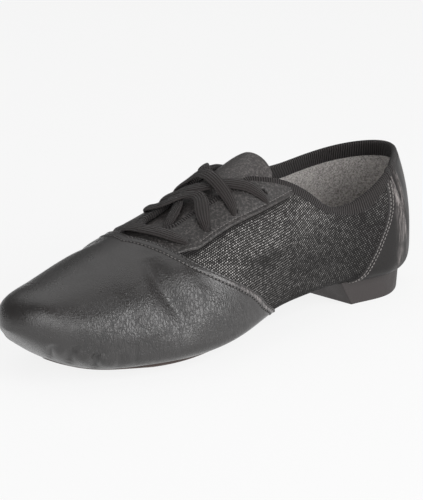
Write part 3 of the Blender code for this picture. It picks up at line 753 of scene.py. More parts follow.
# Creases and forms pressed into every layer

def arc_points(row, count=36):
    """Points of the last along a quadratic arc given by three places on the surface."""
    t = np.linspace(0, 1, count)
    weights = np.stack([(1 - t) ** 2, 2 * t * (1 - t), t ** 2])
    at = weights[0] * row[0] + weights[1] * (2 * row[2] - (row[0] + row[4]) / 2) + weights[2] * row[4]
    degrees = weights[0] * row[1] + weights[1] * (2 * row[3] - (row[1] + row[5]) / 2) + weights[2] * row[5]
    return last_point(u_of(at), np.radians(degrees)), t


def relief(points, rows):
    """Height of all creases at the points: each is height exp(-(distance/width)^2), fading at its ends."""
    flat = points.reshape(-1, 3)
    height = np.zeros(len(flat))
    for row in rows:
        path, t = arc_points(row)
        reach = CREASE_REACH * row[7] * MM
        near = np.all((flat > path.min(axis=0) - reach) & (flat < path.max(axis=0) + reach), axis=1)
        index = np.nonzero(near)[0]
        if not len(index):
            continue
        away = np.linalg.norm(flat[index][:, None] - path[None], axis=2)
        closest = away.argmin(axis=1)
        distance = away.min(axis=1) / (row[7] * MM)
        ends = np.sin(math.pi * np.clip(t[closest], CREASE_END, 1 - CREASE_END)) ** CREASE_FADE
        height[index] += row[6] * MM * ends * np.exp(-distance ** 2)
    return height.reshape(points.shape[:-1])


def skin(u, ring, lift):
    """Point of a layer at a height over the last, with the creases pressed in."""
    base = last_point(u, ring)
    depth = bpy.context.scene.shoe_looks.crease_depth
    height = np.asarray(lift) + relief(base, CREASES) * depth
    return base + outward(u, ring) * np.asarray(height)[..., None]


# Meshes from grids

def make_piece(name, points, material, hides=(), uv=None, wrap=False, facing=None, fields=None):
    """Mesh of a grid of points (rows, columns, 3), smooth, welded where points fall together.

    uv is a grid of (u, v) in millimetres, wrap joins the last column to the first, fields are named
    grids of numbers kept on the vertices, and facing is a grid of directions that the faces turn to.
    """
    rows, columns = points.shape[:2]
    index = np.arange(rows * columns).reshape(rows, columns)
    right = np.roll(index, -1, axis=1) if wrap else index[:, 1:]
    left = index if wrap else index[:, :-1]
    quads = np.stack([left[:-1], left[1:], right[1:], right[:-1]], axis=-1).reshape(-1, 4)
    flat = points.reshape(-1, 3)
    if facing is not None:
        diagonal = np.cross(flat[quads[:, 2]] - flat[quads[:, 0]], flat[quads[:, 3]] - flat[quads[:, 1]])
        if (diagonal * facing.reshape(-1, 3)[quads[:, 0]]).sum() < 0:
            quads = quads[:, ::-1]
    mesh = bpy.data.meshes.new(name)
    mesh.vertices.add(len(flat))
    mesh.vertices.foreach_set("co", flat.astype(np.float32).ravel())
    mesh.loops.add(quads.size)
    mesh.loops.foreach_set("vertex_index", quads.astype(np.int32).ravel())
    mesh.polygons.add(len(quads))
    mesh.polygons.foreach_set("loop_start", np.arange(0, quads.size, 4, dtype=np.int32))
    mesh.polygons.foreach_set("use_smooth", np.ones(len(quads), bool))
    if uv is not None:
        layer = mesh.uv_layers.new(name="UVMap")
        layer.data.foreach_set("uv", uv.reshape(-1, 2)[quads.ravel()].astype(np.float32).ravel())
    for key, values in (fields or {}).items():
        field = mesh.attributes.new(key, 'FLOAT', 'POINT')
        field.data.foreach_set("value", np.broadcast_to(values, (rows, columns)).astype(np.float32).ravel())
    mesh.update()
    mesh.validate()
    return finish_piece(name, mesh, material, hides)


def finish_piece(name, mesh, material, hides=()):
    """Object of a mesh, welded, with its material, riding on the shoe."""
    work = bmesh.new()
    work.from_mesh(mesh)
    bmesh.ops.remove_doubles(work, verts=work.verts, dist=2e-6)
    work.to_mesh(mesh)
    work.free()
    mesh.materials.append(material)
    obj = bpy.data.objects.new(name, mesh)
    bpy.context.scene.collection.objects.link(obj)
    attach(obj, "root")
    if hides:
        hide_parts(*hides)
    return obj


def make_solid(name, points, material, hides=(), uv=None):
    """Closed mesh of a grid whose columns wrap round and whose first and last row are capped by welding."""
    obj = make_piece(name, points, material, hides, uv, wrap=True)
    work = bmesh.new()
    work.from_mesh(obj.data)
    bmesh.ops.recalc_face_normals(work, faces=work.faces)
    work.to_mesh(obj.data)
    work.free()
    return obj


# Places along the topline

def surface_step(u, ring, move):
    """Move over the surface by a small 3D step, given in its own tangent plane."""
    along, across = tangents(u, ring)
    aa = (along * along).sum(-1)
    ab = (along * across).sum(-1)
    bb = (across * across).sum(-1)
    ma = (move * along).sum(-1)
    mb = (move * across).sum(-1)
    det = aa * bb - ab * ab
    return u + (ma * bb - mb * ab) / det, ring + (mb * aa - ma * ab) / det


def topline(legs=260, turns=26):
    """The top edge as one closed loop of places on the surface, from the throat round the heel."""
    turn = np.radians(np.linspace(90, 0, turns + 1))
    arc = u_of(THROAT_TURN + (THROAT_END - THROAT_TURN) * np.sin(turn))
    u = np.append(arc, np.linspace(u_of(THROAT_TURN), 0, legs + 1)[1:])
    outer = top_ring(u, 1)
    inner = math.pi - top_ring(u, -1)
    outer[0] = math.pi / 2
    all_u = np.concatenate([u, u[-2:0:-1]])
    all_ring = np.concatenate([outer, inner[-2:0:-1]])
    return all_u, all_ring


def edge_inset(u, ring, distance):
    """Places on the surface at a distance below a closed edge."""
    points = last_point(u, ring)
    tangent = unit(np.roll(points, -1, axis=0) - np.roll(points, 1, axis=0))
    inwards = unit(np.cross(tangent, outward(u, ring)))
    steps = 4
    for _ in range(steps):
        u, ring = surface_step(u, ring, inwards * np.asarray(distance)[..., None] / steps)
        inwards = unit(inwards - outward(u, ring) * (inwards * outward(u, ring)).sum(-1, keepdims=True))
    return u, ring


def signed_inset(distance):
    """The line at a distance below the top edge, as sorted signed shares of the outline and angles."""
    u, ring = topline()
    inset_u, inset_ring = edge_inset(u, ring, np.full_like(u, distance))
    half_count = len(u) // 2 + 1
    outer_side = np.arange(len(u)) < half_count
    signed_u = np.where(outer_side, inset_u, -inset_u)
    signed_ring = np.where(outer_side, inset_ring, math.pi - inset_ring)
    order = np.argsort(signed_u)
    return signed_u[order], signed_ring[order]


# Materials

def new_node(tree, kind, values=None, **settings):
    """Shader node with settings and input values by name or number."""
    node = tree.nodes.new(kind)
    for key, value in settings.items():
        setattr(node, key, value)
    for key, value in (values or {}).items():
        node.inputs[key].default_value = value
    return node


def start_material(name, colour, roughness, specular=0.5, sheen=0.0):
    """Principled material whose plain numbers sit on its own sockets."""
    material = bpy.data.materials.new(name)
    material.use_nodes = True
    tree = material.node_tree
    shader = tree.nodes["Principled BSDF"]
    shader.inputs["Base Color"].default_value = (*colour, 1)
    shader.inputs["Roughness"].default_value = roughness
    shader.inputs["Specular IOR Level"].default_value = specular
    shader.inputs["Sheen Weight"].default_value = sheen
    shader.inputs["Sheen Roughness"].default_value = 0.5
    return material, tree, shader


def place_in_mm(tree, turn=(0, 0, 0), stretch=(1, 1, 1), source="Object"):
    """Object or UV coordinates in millimetres, turned and stretched."""
    coordinates = new_node(tree, "ShaderNodeTexCoord")
    unit_scale = 1000.0 if source == "Object" else 1.0
    mapping = new_node(tree, "ShaderNodeMapping")
    mapping.inputs["Scale"].default_value = [unit_scale * s for s in stretch]
    mapping.inputs["Rotation"].default_value = turn
    tree.links.new(coordinates.outputs[source], mapping.inputs["Vector"])
    return mapping.outputs["Vector"]


def noise(tree, vector, scale, detail=4.0, roughness=0.5):
    """Noise value at a scale per millimetre."""
    node = new_node(tree, "ShaderNodeTexNoise", {"Scale": scale, "Detail": detail, "Roughness": roughness})
    tree.links.new(vector, node.inputs["Vector"])
    return node.outputs["Fac"]


def cells(tree, vector, scale):
    """Distance to the edge of a cell pattern at a scale per millimetre."""
    node = new_node(tree, "ShaderNodeTexVoronoi", {"Scale": scale}, feature="DISTANCE_TO_EDGE")
    tree.links.new(vector, node.inputs["Vector"])
    return node.outputs["Distance"]


def bands(tree, vector, direction, scale, distortion):
    """Even bands that follow one another in a direction, a little wavy."""
    node = new_node(tree, "ShaderNodeTexWave", {"Scale": scale, "Distortion": distortion, "Detail": 2.0},
                    wave_type='BANDS', bands_direction=direction, wave_profile='SIN')
    tree.links.new(vector, node.inputs["Vector"])
    return node.outputs["Fac"]


def warped(tree, vector, amount):
    """Vector shifted by soft noise of an amount in millimetres."""
    node = new_node(tree, "ShaderNodeTexNoise", {"Scale": 0.35, "Detail": 3.0})
    tree.links.new(vector, node.inputs["Vector"])
    scaled = new_node(tree, "ShaderNodeVectorMath", operation='SCALE')
    scaled.inputs["Scale"].default_value = 2 * amount
    tree.links.new(node.outputs["Color"], scaled.inputs[0])
    moved = new_node(tree, "ShaderNodeVectorMath", operation='ADD')
    tree.links.new(vector, moved.inputs[0])
    tree.links.new(scaled.outputs["Vector"], moved.inputs[1])
    return moved.outputs["Vector"]


def spread(tree, value, low, high, first=0.0, last=1.0):
    """Value between low and high spread smoothly from first to last."""
    node = new_node(tree, "ShaderNodeMapRange", interpolation_type='SMOOTHSTEP')
    tree.links.new(value, node.inputs["Value"])
    node.inputs["From Min"].default_value = low
    node.inputs["From Max"].default_value = high
    node.inputs["To Min"].default_value = first
    node.inputs["To Max"].default_value = last
    return node.outputs["Result"]


def calculate(tree, operation, first, second):
    """One step of arithmetic between two values or numbers."""
    node = new_node(tree, "ShaderNodeMath", operation=operation)
    for socket, value in zip(node.inputs, (first, second)):
        if isinstance(value, (int, float)):
            socket.default_value = value
        else:
            tree.links.new(value, socket)
    return node.outputs["Value"]


def weighted(tree, *parts):
    """Sum of values, each times its weight."""
    scaled = [calculate(tree, 'MULTIPLY', value, weight) for value, weight in parts]
    total = scaled[0]
    for value in scaled[1:]:
        total = calculate(tree, 'ADD', total, value)
    return total


def blend_colours(tree, share, dark, light):
    """Colour between dark and light by a share."""
    node = new_node(tree, "ShaderNodeMix", data_type='RGBA')
    tree.links.new(share, node.inputs["Factor"])
    for socket, colour in (("A", dark), ("B", light)):
        target = [s for s in node.inputs if s.name == socket and s.type == 'RGBA'][0]
        if hasattr(colour, "links"):
            tree.links.new(colour, target)
        else:
            target.default_value = (*colour, 1)
    return [s for s in node.outputs if s.type == 'RGBA'][0]


def field_value(tree, name):
    """Number kept on the piece's vertices."""
    node = new_node(tree, "ShaderNodeAttribute", attribute_name=name)
    return node.outputs["Fac"]


def add_bump(tree, shader, height, distance, before=None):
    """Bump of a height field, in metres, after an earlier bump."""
    node = new_node(tree, "ShaderNodeBump", {"Strength": 1.0, "Distance": distance})
    tree.links.new(height, node.inputs["Height"])
    if before is not None:
        tree.links.new(before, node.inputs["Normal"])
    tree.links.new(node.outputs["Normal"], shader.inputs["Normal"])
    return node.outputs["Normal"]


def tinted(colour, factor):
    """Colour made lighter or darker by a factor."""
    return tuple(min(1.0, c * factor) for c in colour)


def shade(tree, shader, share, colour, dark, light):
    """Base colour that goes by a share from a dark to a light tint of the piece's colour."""
    mixed = blend_colours(tree, share, tinted(colour, dark), tinted(colour, light))
    tree.links.new(mixed, shader.inputs["Base Color"])


def leather_material(name, colour, roughness=0.5, grain=1.0, streak_share=0.0, painted_glints=0.0, gloss=0.5):
    """Soft leather: cell grain, fine pores, cloudy colour, and a crackle where the piece is creased."""
    material, tree, shader = start_material(name, colour, roughness, gloss)
    place = place_in_mm(tree)
    cloud = noise(tree, place, 0.06, detail=3)
    fine = noise(tree, place, 1.4, detail=2)
    pebble = spread(tree, cells(tree, place, 0.95), 0.0, 0.24)
    drawn_out = warped(tree, place_in_mm(tree, stretch=(1, 1, 0.26)), 1.1)
    wrinkles = spread(tree, cells(tree, drawn_out, 0.66), 0.0, 0.17)
    crackle = spread(tree, cells(tree, place_in_mm(tree, stretch=(1, 1, 0.50)), 1.10), 0.0, 0.20)
    creased = field_value(tree, "creased")
    tone = weighted(tree, (cloud, 0.5), (fine, 0.3), (pebble, 0.2))
    colours = blend_colours(tree, tone, tinted(colour, 0.62), tinted(colour, 1.34))
    # Painted glints: lighter specks that stand in for highlights on the grain's tops
    if painted_glints:
        tops = spread(tree, noise(tree, place, 0.9, detail=4, roughness=0.6), 0.47, 0.63)
        share = calculate(tree, 'MULTIPLY', tops, painted_glints)
        colours = blend_colours(tree, share, colours, tinted(colour, 4.0))
    # Lighter streaks: on the counter partly scuffs, partly painted highlight along its buckle's ridges
    if streak_share:
        streak = noise(tree, place_in_mm(tree, stretch=(1, 1, 0.10)), 1.1, detail=6, roughness=0.7)
        marks = calculate(tree, 'MULTIPLY', spread(tree, streak, 0.42, 0.58), field_value(tree, "pale_streaks"))
        share = calculate(tree, 'MULTIPLY', marks, streak_share)
        colours = blend_colours(tree, share, colours, tinted(colour, 16.0))
    # Painted shade in the grooves of the wrinkles where the piece is creased
    gap = calculate(tree, 'MULTIPLY', calculate(tree, 'SUBTRACT', 1.0, wrinkles), creased)
    colours = blend_colours(tree, calculate(tree, 'MULTIPLY', gap, 0.8), colours, tinted(colour, 0.15))
    tree.links.new(colours, shader.inputs["Base Color"])
    worn = spread(tree, cloud, 0.35, 0.65, first=roughness - 0.05, last=roughness + 0.07)
    worn = calculate(tree, 'ADD', worn, calculate(tree, 'MULTIPLY', gap, 0.3))
    tree.links.new(worn, shader.inputs["Roughness"])
    normal = add_bump(tree, shader, pebble, PEBBLE_BUMP * grain)
    normal = add_bump(tree, shader, calculate(tree, 'MULTIPLY', wrinkles, creased), WRINKLE_BUMP, normal)
    normal = add_bump(tree, shader, calculate(tree, 'MULTIPLY', crackle, creased), CRACKLE_BUMP, normal)
    add_bump(tree, shader, fine, PORE_BUMP * grain, normal)
    return material


def mesh_material(name, yarn, ground):
    """Stretch mesh: staggered yarn loops over a dark ground, following the piece's own map."""
    material, tree, shader = start_material(name, ground, roughness=0.75, specular=0.15)
    place = place_in_mm(tree, source="UV")
    loops = new_node(tree, "ShaderNodeTexBrick", {"Scale": 1.0, "Mortar Size": 0.40, "Mortar Smooth": 1.0,
                                                  "Brick Width": 1.12, "Row Height": 1.10, "Bias": 0.0})
    loops.offset = 0.5
    loops.inputs["Color1"].default_value = (1, 1, 1, 1)
    loops.inputs["Color2"].default_value = (0.55, 0.55, 0.55, 1)
    loops.inputs["Mortar"].default_value = (0, 0, 0, 1)
    tree.links.new(place, loops.inputs["Vector"])
    bead = new_node(tree, "ShaderNodeRGBToBW")
    tree.links.new(loops.outputs["Color"], bead.inputs["Color"])
    bead = bead.outputs["Val"]
    drawn_out = place_in_mm(tree, stretch=(0.35, 1, 1), source="UV")
    speckle = noise(tree, drawn_out, 0.5, roughness=0.7)
    strength = calculate(tree, 'POWER', bead, 2.8)
    uneven = spread(tree, speckle, 0.3, 0.7, first=0.65, last=1.15)
    strength = calculate(tree, 'MULTIPLY', strength, uneven)
    # Yarn dimmed and brightened by the painted light and shade kept on the vertices
    strength = calculate(tree, 'MULTIPLY', strength, field_value(tree, "painted_light_and_hem"))
    colours = blend_colours(tree, strength, ground, yarn)
    tree.links.new(colours, shader.inputs["Base Color"])
    add_bump(tree, shader, bead, MESH_BUMP)
    return material


def tape_material(name, colour):
    """Grosgrain tape: ribs across its length, following the piece's own map."""
    material, tree, shader = start_material(name, colour, roughness=0.75, specular=0.2, sheen=0.08)
    place = place_in_mm(tree, turn=(0, 0, 0.12), source="UV")
    rib = bands(tree, place, 'X', scale=0.248, distortion=0.4)
    fine = noise(tree, place, 3.0)
    share = calculate(tree, 'MULTIPLY', rib, spread(tree, fine, 0.3, 0.7, first=0.6, last=1.0))
    shade(tree, shader, share, colour, dark=0.20, light=2.3)
    normal = add_bump(tree, shader, rib, TAPE_RIB_BUMP)
    add_bump(tree, shader, fine, TAPE_FIBRE_BUMP, normal)
    return material


def lace_material(name, colour):
    """Flat woven lace: cords along its length and a fine weave across, following the piece's own map."""
    material, tree, shader = start_material(name, colour, roughness=0.80, specular=0.15, sheen=0.1)
    place = place_in_mm(tree, source="UV")
    cords = bands(tree, place, 'Y', scale=0.30, distortion=0.5)
    weave = bands(tree, place, 'X', scale=0.55, distortion=1.0)
    fine = noise(tree, place, 2.0)
    share = weighted(tree, (cords, 0.6), (fine, 0.4))
    shade(tree, shader, share, colour, dark=0.5, light=1.5)
    normal = add_bump(tree, shader, cords, CORD_BUMP)
    add_bump(tree, shader, weave, WEAVE_BUMP, normal)
    return material


def felt_material(name, colour):
    """Felt lining: speckled fibres with a soft nap."""
    material, tree, shader = start_material(name, colour, roughness=0.9, specular=0.2, sheen=0.4)
    place = place_in_mm(tree)
    fibre = noise(tree, place, 1.1, detail=8, roughness=0.75)
    cloud = noise(tree, place, 0.12, detail=3)
    share = weighted(tree, (spread(tree, fibre, 0.32, 0.68), 0.75), (cloud, 0.25))
    shade(tree, shader, share, colour, dark=0.18, light=2.3)
    add_bump(tree, shader, fibre, FELT_BUMP)
    return material


def suede_material(name, colour):
    """Suede or split leather: short nap, slightly streaked and worn."""
    material, tree, shader = start_material(name, colour, roughness=0.85, specular=0.2, sheen=0.5)
    place = place_in_mm(tree)
    nap = noise(tree, place, 1.6, detail=8, roughness=0.7)
    worn = noise(tree, place, 0.08)
    share = spread(tree, weighted(tree, (nap, 0.5), (worn, 0.5)), 0.3, 0.7)
    shade(tree, shader, share, colour, dark=0.7, light=1.5)
    add_bump(tree, shader, nap, SUEDE_BUMP)
    return material


def rubber_material(name, colour):
    """Moulded rubber with a fine matt grain."""
    material, tree, shader = start_material(name, colour, roughness=0.6, specular=0.4)
    place = place_in_mm(tree)
    fine = noise(tree, place, 2.2, detail=6, roughness=0.6)
    cloud = noise(tree, place, 0.1, detail=3)
    shade(tree, shader, cloud, colour, dark=0.8, light=1.25)
    tree.links.new(spread(tree, cloud, 0.3, 0.7, first=0.55, last=0.7), shader.inputs["Roughness"])
    add_bump(tree, shader, fine, RUBBER_BUMP)
    return material


def thread_material(name, colour):
    """Sewing thread."""
    material, tree, shader = start_material(name, colour, roughness=0.55, specular=0.4, sheen=0.2)
    fine = noise(tree, place_in_mm(tree), 5.0, detail=2)
    shade(tree, shader, fine, colour, dark=0.7, light=1.3)
    return material


# Pieces of the upper

def vamp_grid(columns=440, rows=200):
    """Places on the vamp: columns go right round the section, rows from the seam to the toe's tip."""
    share = np.linspace(0, 1, columns // 2 + 1)
    outer = even_ring(EVEN_VAMP, -math.pi / 2, math.pi / 2, share)
    ring = np.concatenate([outer, (math.pi - outer)[::-1][1:-1]])
    seam = u_of(vamp_seam_at(outer_twin(ring)))
    crowding = 1.25
    t = np.append(0.0, np.linspace(0, 1, rows - 1) ** crowding)[:, None]
    u = seam + (1 - seam) * t
    edge = t * (1 - seam) * WAY[-1]
    lift = VAMP_LIFT * quarter_round(edge / EDGE_ROUND)
    lift = lift + WELT_RISE * np.clip(WELT_HALF - np.abs(edge - WELT_AT), 0, WELT_SIDE) / WELT_SIDE
    depth, half_width = VAMP_GROOVE
    for stitch in SEAM_ROWS:
        lift = lift - depth * bell(edge, stitch, half_width)
    lift[0] = -VAMP_TUCK
    return u, ring + 0 * u, lift, edge


def build_vamp(looks):
    """Vamp leather: the last forward of the seam, lifted, with pleats drawn in under the toe."""
    u, ring, lift, edge = vamp_grid()
    base = last_point(u, ring)
    calm = np.clip((1 - np.abs(u)) * WAY[-1] / CALM_REACH, 0, 1)
    points = skin(u, ring, lift + relief(base, PLEATS) * calm)
    creased = np.full(u.shape, VAMP_CREASED)
    for at, degrees, reach, amount in WRINKLED:
        centre = last_point(np.array([u_of(at)]), np.radians([degrees]))[0]
        creased += amount * bell(np.linalg.norm(base - centre, axis=-1), 0, reach * MM)
    creased = np.clip(creased * np.clip((edge - SMOOTH_EDGE) / SMOOTH_FADE, SMOOTH_LEAST, 1), 0, 1)
    # A lighter strip along the welt, strongest near the outer side's widest point
    away = np.abs(np.degrees(ring) - PALE_STRIP_ANGLE)
    worn = bell(edge, PALE_STRIP_AT, PALE_STRIP_HALF) * np.clip(1 - away / PALE_STRIP_REACH, 0, 1)
    material = leather_material("vamp_leather", tinted(looks.leather_colour, 0.70), roughness=0.30,
                                grain=2.2, streak_share=0.6, gloss=0.78)
    return make_piece("vamp", points, material, hides=("upper",), wrap=True,
                      facing=outward(u, ring), fields={"creased": creased, "pale_streaks": worn})


def build_quarters(looks):
    """Mesh quarters: the last from the seam round the heel, from the underside up to the topline."""
    across = np.linspace(-1, 1, 461)
    share = np.linspace(0, 1, 121)[:, None]
    u = across * u_of(SEAM_SECTION)
    for _ in range(6):
        top = np.minimum(top_ring_both(u), math.radians(89.0))
        ring = even_ring(EVEN_QUARTERS, -math.pi / 2, top, share + 0 * u)
        u = across * (u_of(vamp_seam_at(ring)) + QUARTERS_UNDER)
    points = skin(u, ring, 0.0)
    at = at_of(u)
    hem = np.radians(np.interp(at, HEM_AT, HEM_DEGREES))
    open_mesh = np.clip((ring - hem) / HEM_FADE, 0, 1)
    # Painted light and shade: the yarn lighter above the widest point, darker below it and towards the heel
    light = MESH_TONE + MESH_TONE_UP * np.clip(np.degrees(ring) / MESH_TONE_DEGREES, -1, 1)
    light = light - MESH_TONE_BACK * np.clip((MESH_BACK_AT - at) / MESH_BACK_WAY, 0, 1)
    # Painted highlight and shade streaks along the mesh's folds
    light = np.clip(light + relief(last_point(u, ring), PAINTED_MESH_STREAKS) / MM, *MESH_TONES)
    border = np.radians(spline_column(EYESTAY_BORDER, 1, np.maximum(at, MAP_REAR)))
    level = way_up(np.maximum(np.abs(u), u_of(MAP_REAR)), border)
    level = level + MAP_SLOPE * LENGTH * np.maximum(MAP_REAR - at, 0)
    uv = np.stack([u * WAY[-1], way_up(u, ring) - level], axis=-1) / MM
    # Painted shade on the mesh below the eyestay's border
    under = np.where(at > SHADE_REAR, np.clip((-uv[..., 1] - SHADE_FROM) / SHADE_REACH, 0, 1), 1.0)
    material = mesh_material("quarter_mesh", looks.mesh_colour, tinted(looks.leather_colour, 0.22))
    # Painted light and shade of the yarn, with the mesh darker below its hem
    fields = {"painted_light_and_hem": light * (0.3 + 0.7 * open_mesh) * (0.1 + 0.9 * under)}
    return make_piece("quarters", points, material, uv=uv, facing=outward(u, ring), fields=fields)


def build_lining(looks):
    """Felt lining: the last from heel to toe, set inside the wall and facing inwards."""
    share = np.linspace(0, 1, 81)[:, None]
    u = np.linspace(-1, 1, 321) * LINING_END + 0 * share
    ring = even_ring(EVEN_QUARTERS, -math.pi / 2, top_ring_both(u), share + 0 * u)
    deeper = LINING_SINK * np.clip((at_of(u) - LINING_SINK_AT) / LINING_SINK_WAY, 0, 1)
    points = skin(u, ring, -LINING_DEPTH - deeper)
    material = felt_material("lining_felt", looks.felt_colour)
    return make_piece("lining", points, material, facing=-outward(u, ring))


def eyestay_places(margin, turns=40, across_count=34):
    """Places of the eyestay, along from the outer rear round the throat to the inner rear.

    The second direction runs from the top edge, less a margin, down to the border.
    """
    across = np.linspace(0, 1, across_count)
    rear = np.linspace(EYESTAY_REAR, THROAT_TURN, EYESTAY_LEG)
    leg_u = u_of(rear)
    leg_us = leg_u[:, None] + 0 * across
    low = np.radians(spline_column(EYESTAY_BORDER, 1, rear))
    front = np.linspace(0, math.pi / 2, turns)[1:]
    reach = (THROAT_END - THROAT_TURN) + margin / LENGTH
    arc_u = u_of(THROAT_TURN + reach * np.sin(front))
    arc_gap = (spline_column(THROAT, 1, THROAT_TURN) * BALL_WIDTH + margin) * np.cos(front)
    arc_ring = ring_for_gap(arc_u, arc_gap)
    share = np.linspace(0, 1, turns)[1:]
    border_ring = np.radians(FRONT_ANGLE + (90 - FRONT_ANGLE) * share ** FRONT_POWER)
    seam_at = spline_column(VAMP_SEAM, 1, np.degrees(border_ring)) + EYESTAY_UNDER
    corner = np.clip(share * CORNER_SHARE, 0, 1)
    border_u = u_of(THROAT_TURN + (seam_at - THROAT_TURN) * corner)
    front_us = arc_u[:, None] + (border_u - arc_u)[:, None] * across
    front_rings = arc_ring[:, None] + (border_ring - arc_ring)[:, None] * across
    us = np.concatenate([leg_us, front_us])
    signed_u, signed_ring = signed_inset(margin)
    rings = []
    for side in (1, -1):
        top = np.maximum(np.interp(side * leg_u, signed_u, signed_ring), low + LEAST_WIDTH)
        leg_rings = top[:, None] + (low - top)[:, None] * across
        rings.append(on_side(np.concatenate([leg_rings, front_rings]), side))
    return np.concatenate([us, us[::-1][1:]]), np.concatenate([rings[0], rings[1][::-1][1:]])


def eyelet_places():
    """Centres of all the eyelets on the last's outside, outer side first."""
    u = u_of(np.array(EYELETS * 2))
    ring = ring_for_gap(u, EYELET_GAP)
    ring[len(EYELETS):] = math.pi - ring[len(EYELETS):]
    return u, ring


def eyelet_pits(points, depth):
    """Depth of the punched holes at the points: flat outside the radius, steep at its rim."""
    u, ring = eyelet_places()
    pits = np.zeros(points.shape[:-1])
    for centre in last_point(u, ring):
        away = np.linalg.norm(points - centre, axis=-1) / EYELET_RADIUS
        pits += depth * np.clip(1.25 - away, 0, 0.35) / 0.35
    return pits


def build_eyestay(looks):
    """Eyestay leather: a strip round the throat with a folded lower edge and punched eyelets."""
    us, rings = eyestay_places(UNDER_TAPE)
    base = last_point(us, rings)
    down = np.linalg.norm(base - base[:, -1:], axis=-1)
    fold = FOLD_RISE * bell(down, FOLD_AT, FOLD_HALF)
    depth, half_width = EYESTAY_GROOVE
    groove = depth * bell(down, EYESTAY_ROW, half_width)
    behind = (spline_column(VAMP_SEAM, 1, np.degrees(outer_twin(rings))) - at_of(us)) * LENGTH
    rise = smooth_step(np.clip((behind - THIN_FROM) / THIN_WAY, 0, 1))
    full = EYESTAY_THIN + (EYESTAY_LIFT - EYESTAY_THIN) * rise
    lift = (full + fold * rise) * quarter_round(down / EDGE_ROUND) - groove * rise
    lift = lift - eyelet_pits(base, EYELET_DEPTH)
    lift[:, -1] = -EDGE_TUCK
    material = leather_material("eyestay_leather", looks.eyestay_colour, roughness=0.46, grain=3.0,
                                painted_glints=0.8, gloss=0.45)
    return make_piece("eyestay_leather", skin(us, rings, lift), material, hides=("eyestay",),
                      facing=outward(us, rings), fields={"creased": EYESTAY_CREASED})


def build_binding(looks):
    """Grosgrain tape: a folded profile carried round the whole topline, ribbed across its length."""
    u, ring = topline()
    edge = skin(u, ring, 0.0)
    normal = outward(u, ring)
    tangent = unit(np.roll(edge, -1, axis=0) - np.roll(edge, 1, axis=0))
    beyond = -unit(np.cross(tangent, normal))
    out_reach = spline_column(TAPE_OUT, 1, at_of(u)) * MM
    profile = []
    for share in np.linspace(1, TAPE_START, TAPE_OUT_ROWS):
        place = edge_inset(u, ring, out_reach * share)
        profile.append(skin(*place, TAPE_LIFT * (TAPE_HEM if share == 1 else 1.0)))
    radius = (LINING_DEPTH + TAPE_LIFT + TAPE_THICK) / 2
    middle = (TAPE_LIFT - LINING_DEPTH - TAPE_THICK) / 2
    for turn in np.radians(np.linspace(0, 180, TAPE_FOLD_ROWS)):
        outwards = normal * (middle + radius * math.cos(turn))
        profile.append(edge + outwards + beyond * radius * TAPE_FLAT * math.sin(turn))
    for share in np.linspace(TAPE_START, 1, TAPE_IN_ROWS):
        place = edge_inset(u, ring, np.full_like(u, TAPE_IN) * share)
        profile.append(skin(*place, -(LINING_DEPTH + (TAPE_THICK if share < 1 else TAPE_TUCK))))
    points = np.stack(profile, axis=0)
    points = np.concatenate([points, points[:, :1]], axis=1)
    way = way_along(points[TAPE_OUT_ROWS + 2])
    rise = way_along(points[:, 40])
    uv = np.stack(np.broadcast_arrays(way[None, :], rise[:, None]), axis=-1) / MM
    facing = np.concatenate([normal, normal[:1]])[None] * np.ones((len(profile), 1, 1))
    turned = TAPE_OUT_ROWS + TAPE_FOLD_ROWS // 2
    facing[turned:] = -facing[turned:]
    material = tape_material("edge_tape", looks.tape_colour)
    return make_piece("edge_tape", points, material, hides=("topline_binding",),
                      uv=uv, facing=facing)


def counter_places(columns=161, rows=81):
    """Places of the heel counter, from side to side and from the underside up to the tape."""
    across = np.linspace(-1, 1, columns) + 0 * np.zeros((rows, 1))
    share = np.linspace(0, 1, rows)[:, None] + 0 * across
    signed_u, signed_ring = signed_inset(UNDER_TAPE)
    first_guess = 0.158
    u = across * u_of(first_guess)
    for _ in range(16):
        top = np.interp(u, signed_u, signed_ring)
        ring = even_ring(EVEN_COUNTER, math.radians(COUNTER_LOW), top, share)
        border = u_of(spline_column(COUNTER_BORDER, 1, girth_of(np.abs(u), ring)))
        u = 0.5 * u + 0.5 * across * border
    return u, ring


def build_counter(looks):
    """Heel counter: smooth leather wrapped round the heel, thick at its stitched front edges."""
    u, ring = counter_places()
    base = last_point(u, ring)
    rim = np.minimum(np.linalg.norm(base - base[:, :1], axis=-1),
                     np.linalg.norm(base - base[:, -1:], axis=-1))
    lift = COUNTER_LIFT * quarter_round(rim / EDGE_ROUND)
    depth, half_width = COUNTER_GROOVE
    for row in COUNTER_ROWS:
        lift = lift - depth * bell(rim, row, half_width)
    lift[:, [0, -1]] = -EDGE_TUCK
    # Lighter streaks along the buckle's ridges: partly scuffs, partly painted highlight
    pale_streaks = np.clip(relief(base, SCUFFS_AND_HIGHLIGHTS) / MM, 0, 1)
    material = leather_material("counter_leather", tinted(looks.leather_colour, 0.5), roughness=0.46,
                                grain=0.8, streak_share=1.0, gloss=0.22)
    return make_piece("counter", skin(u, ring, lift), material, hides=("heel_counter",),
                      facing=outward(u, ring), fields={"creased": COUNTER_CREASED, "pale_streaks": pale_streaks})


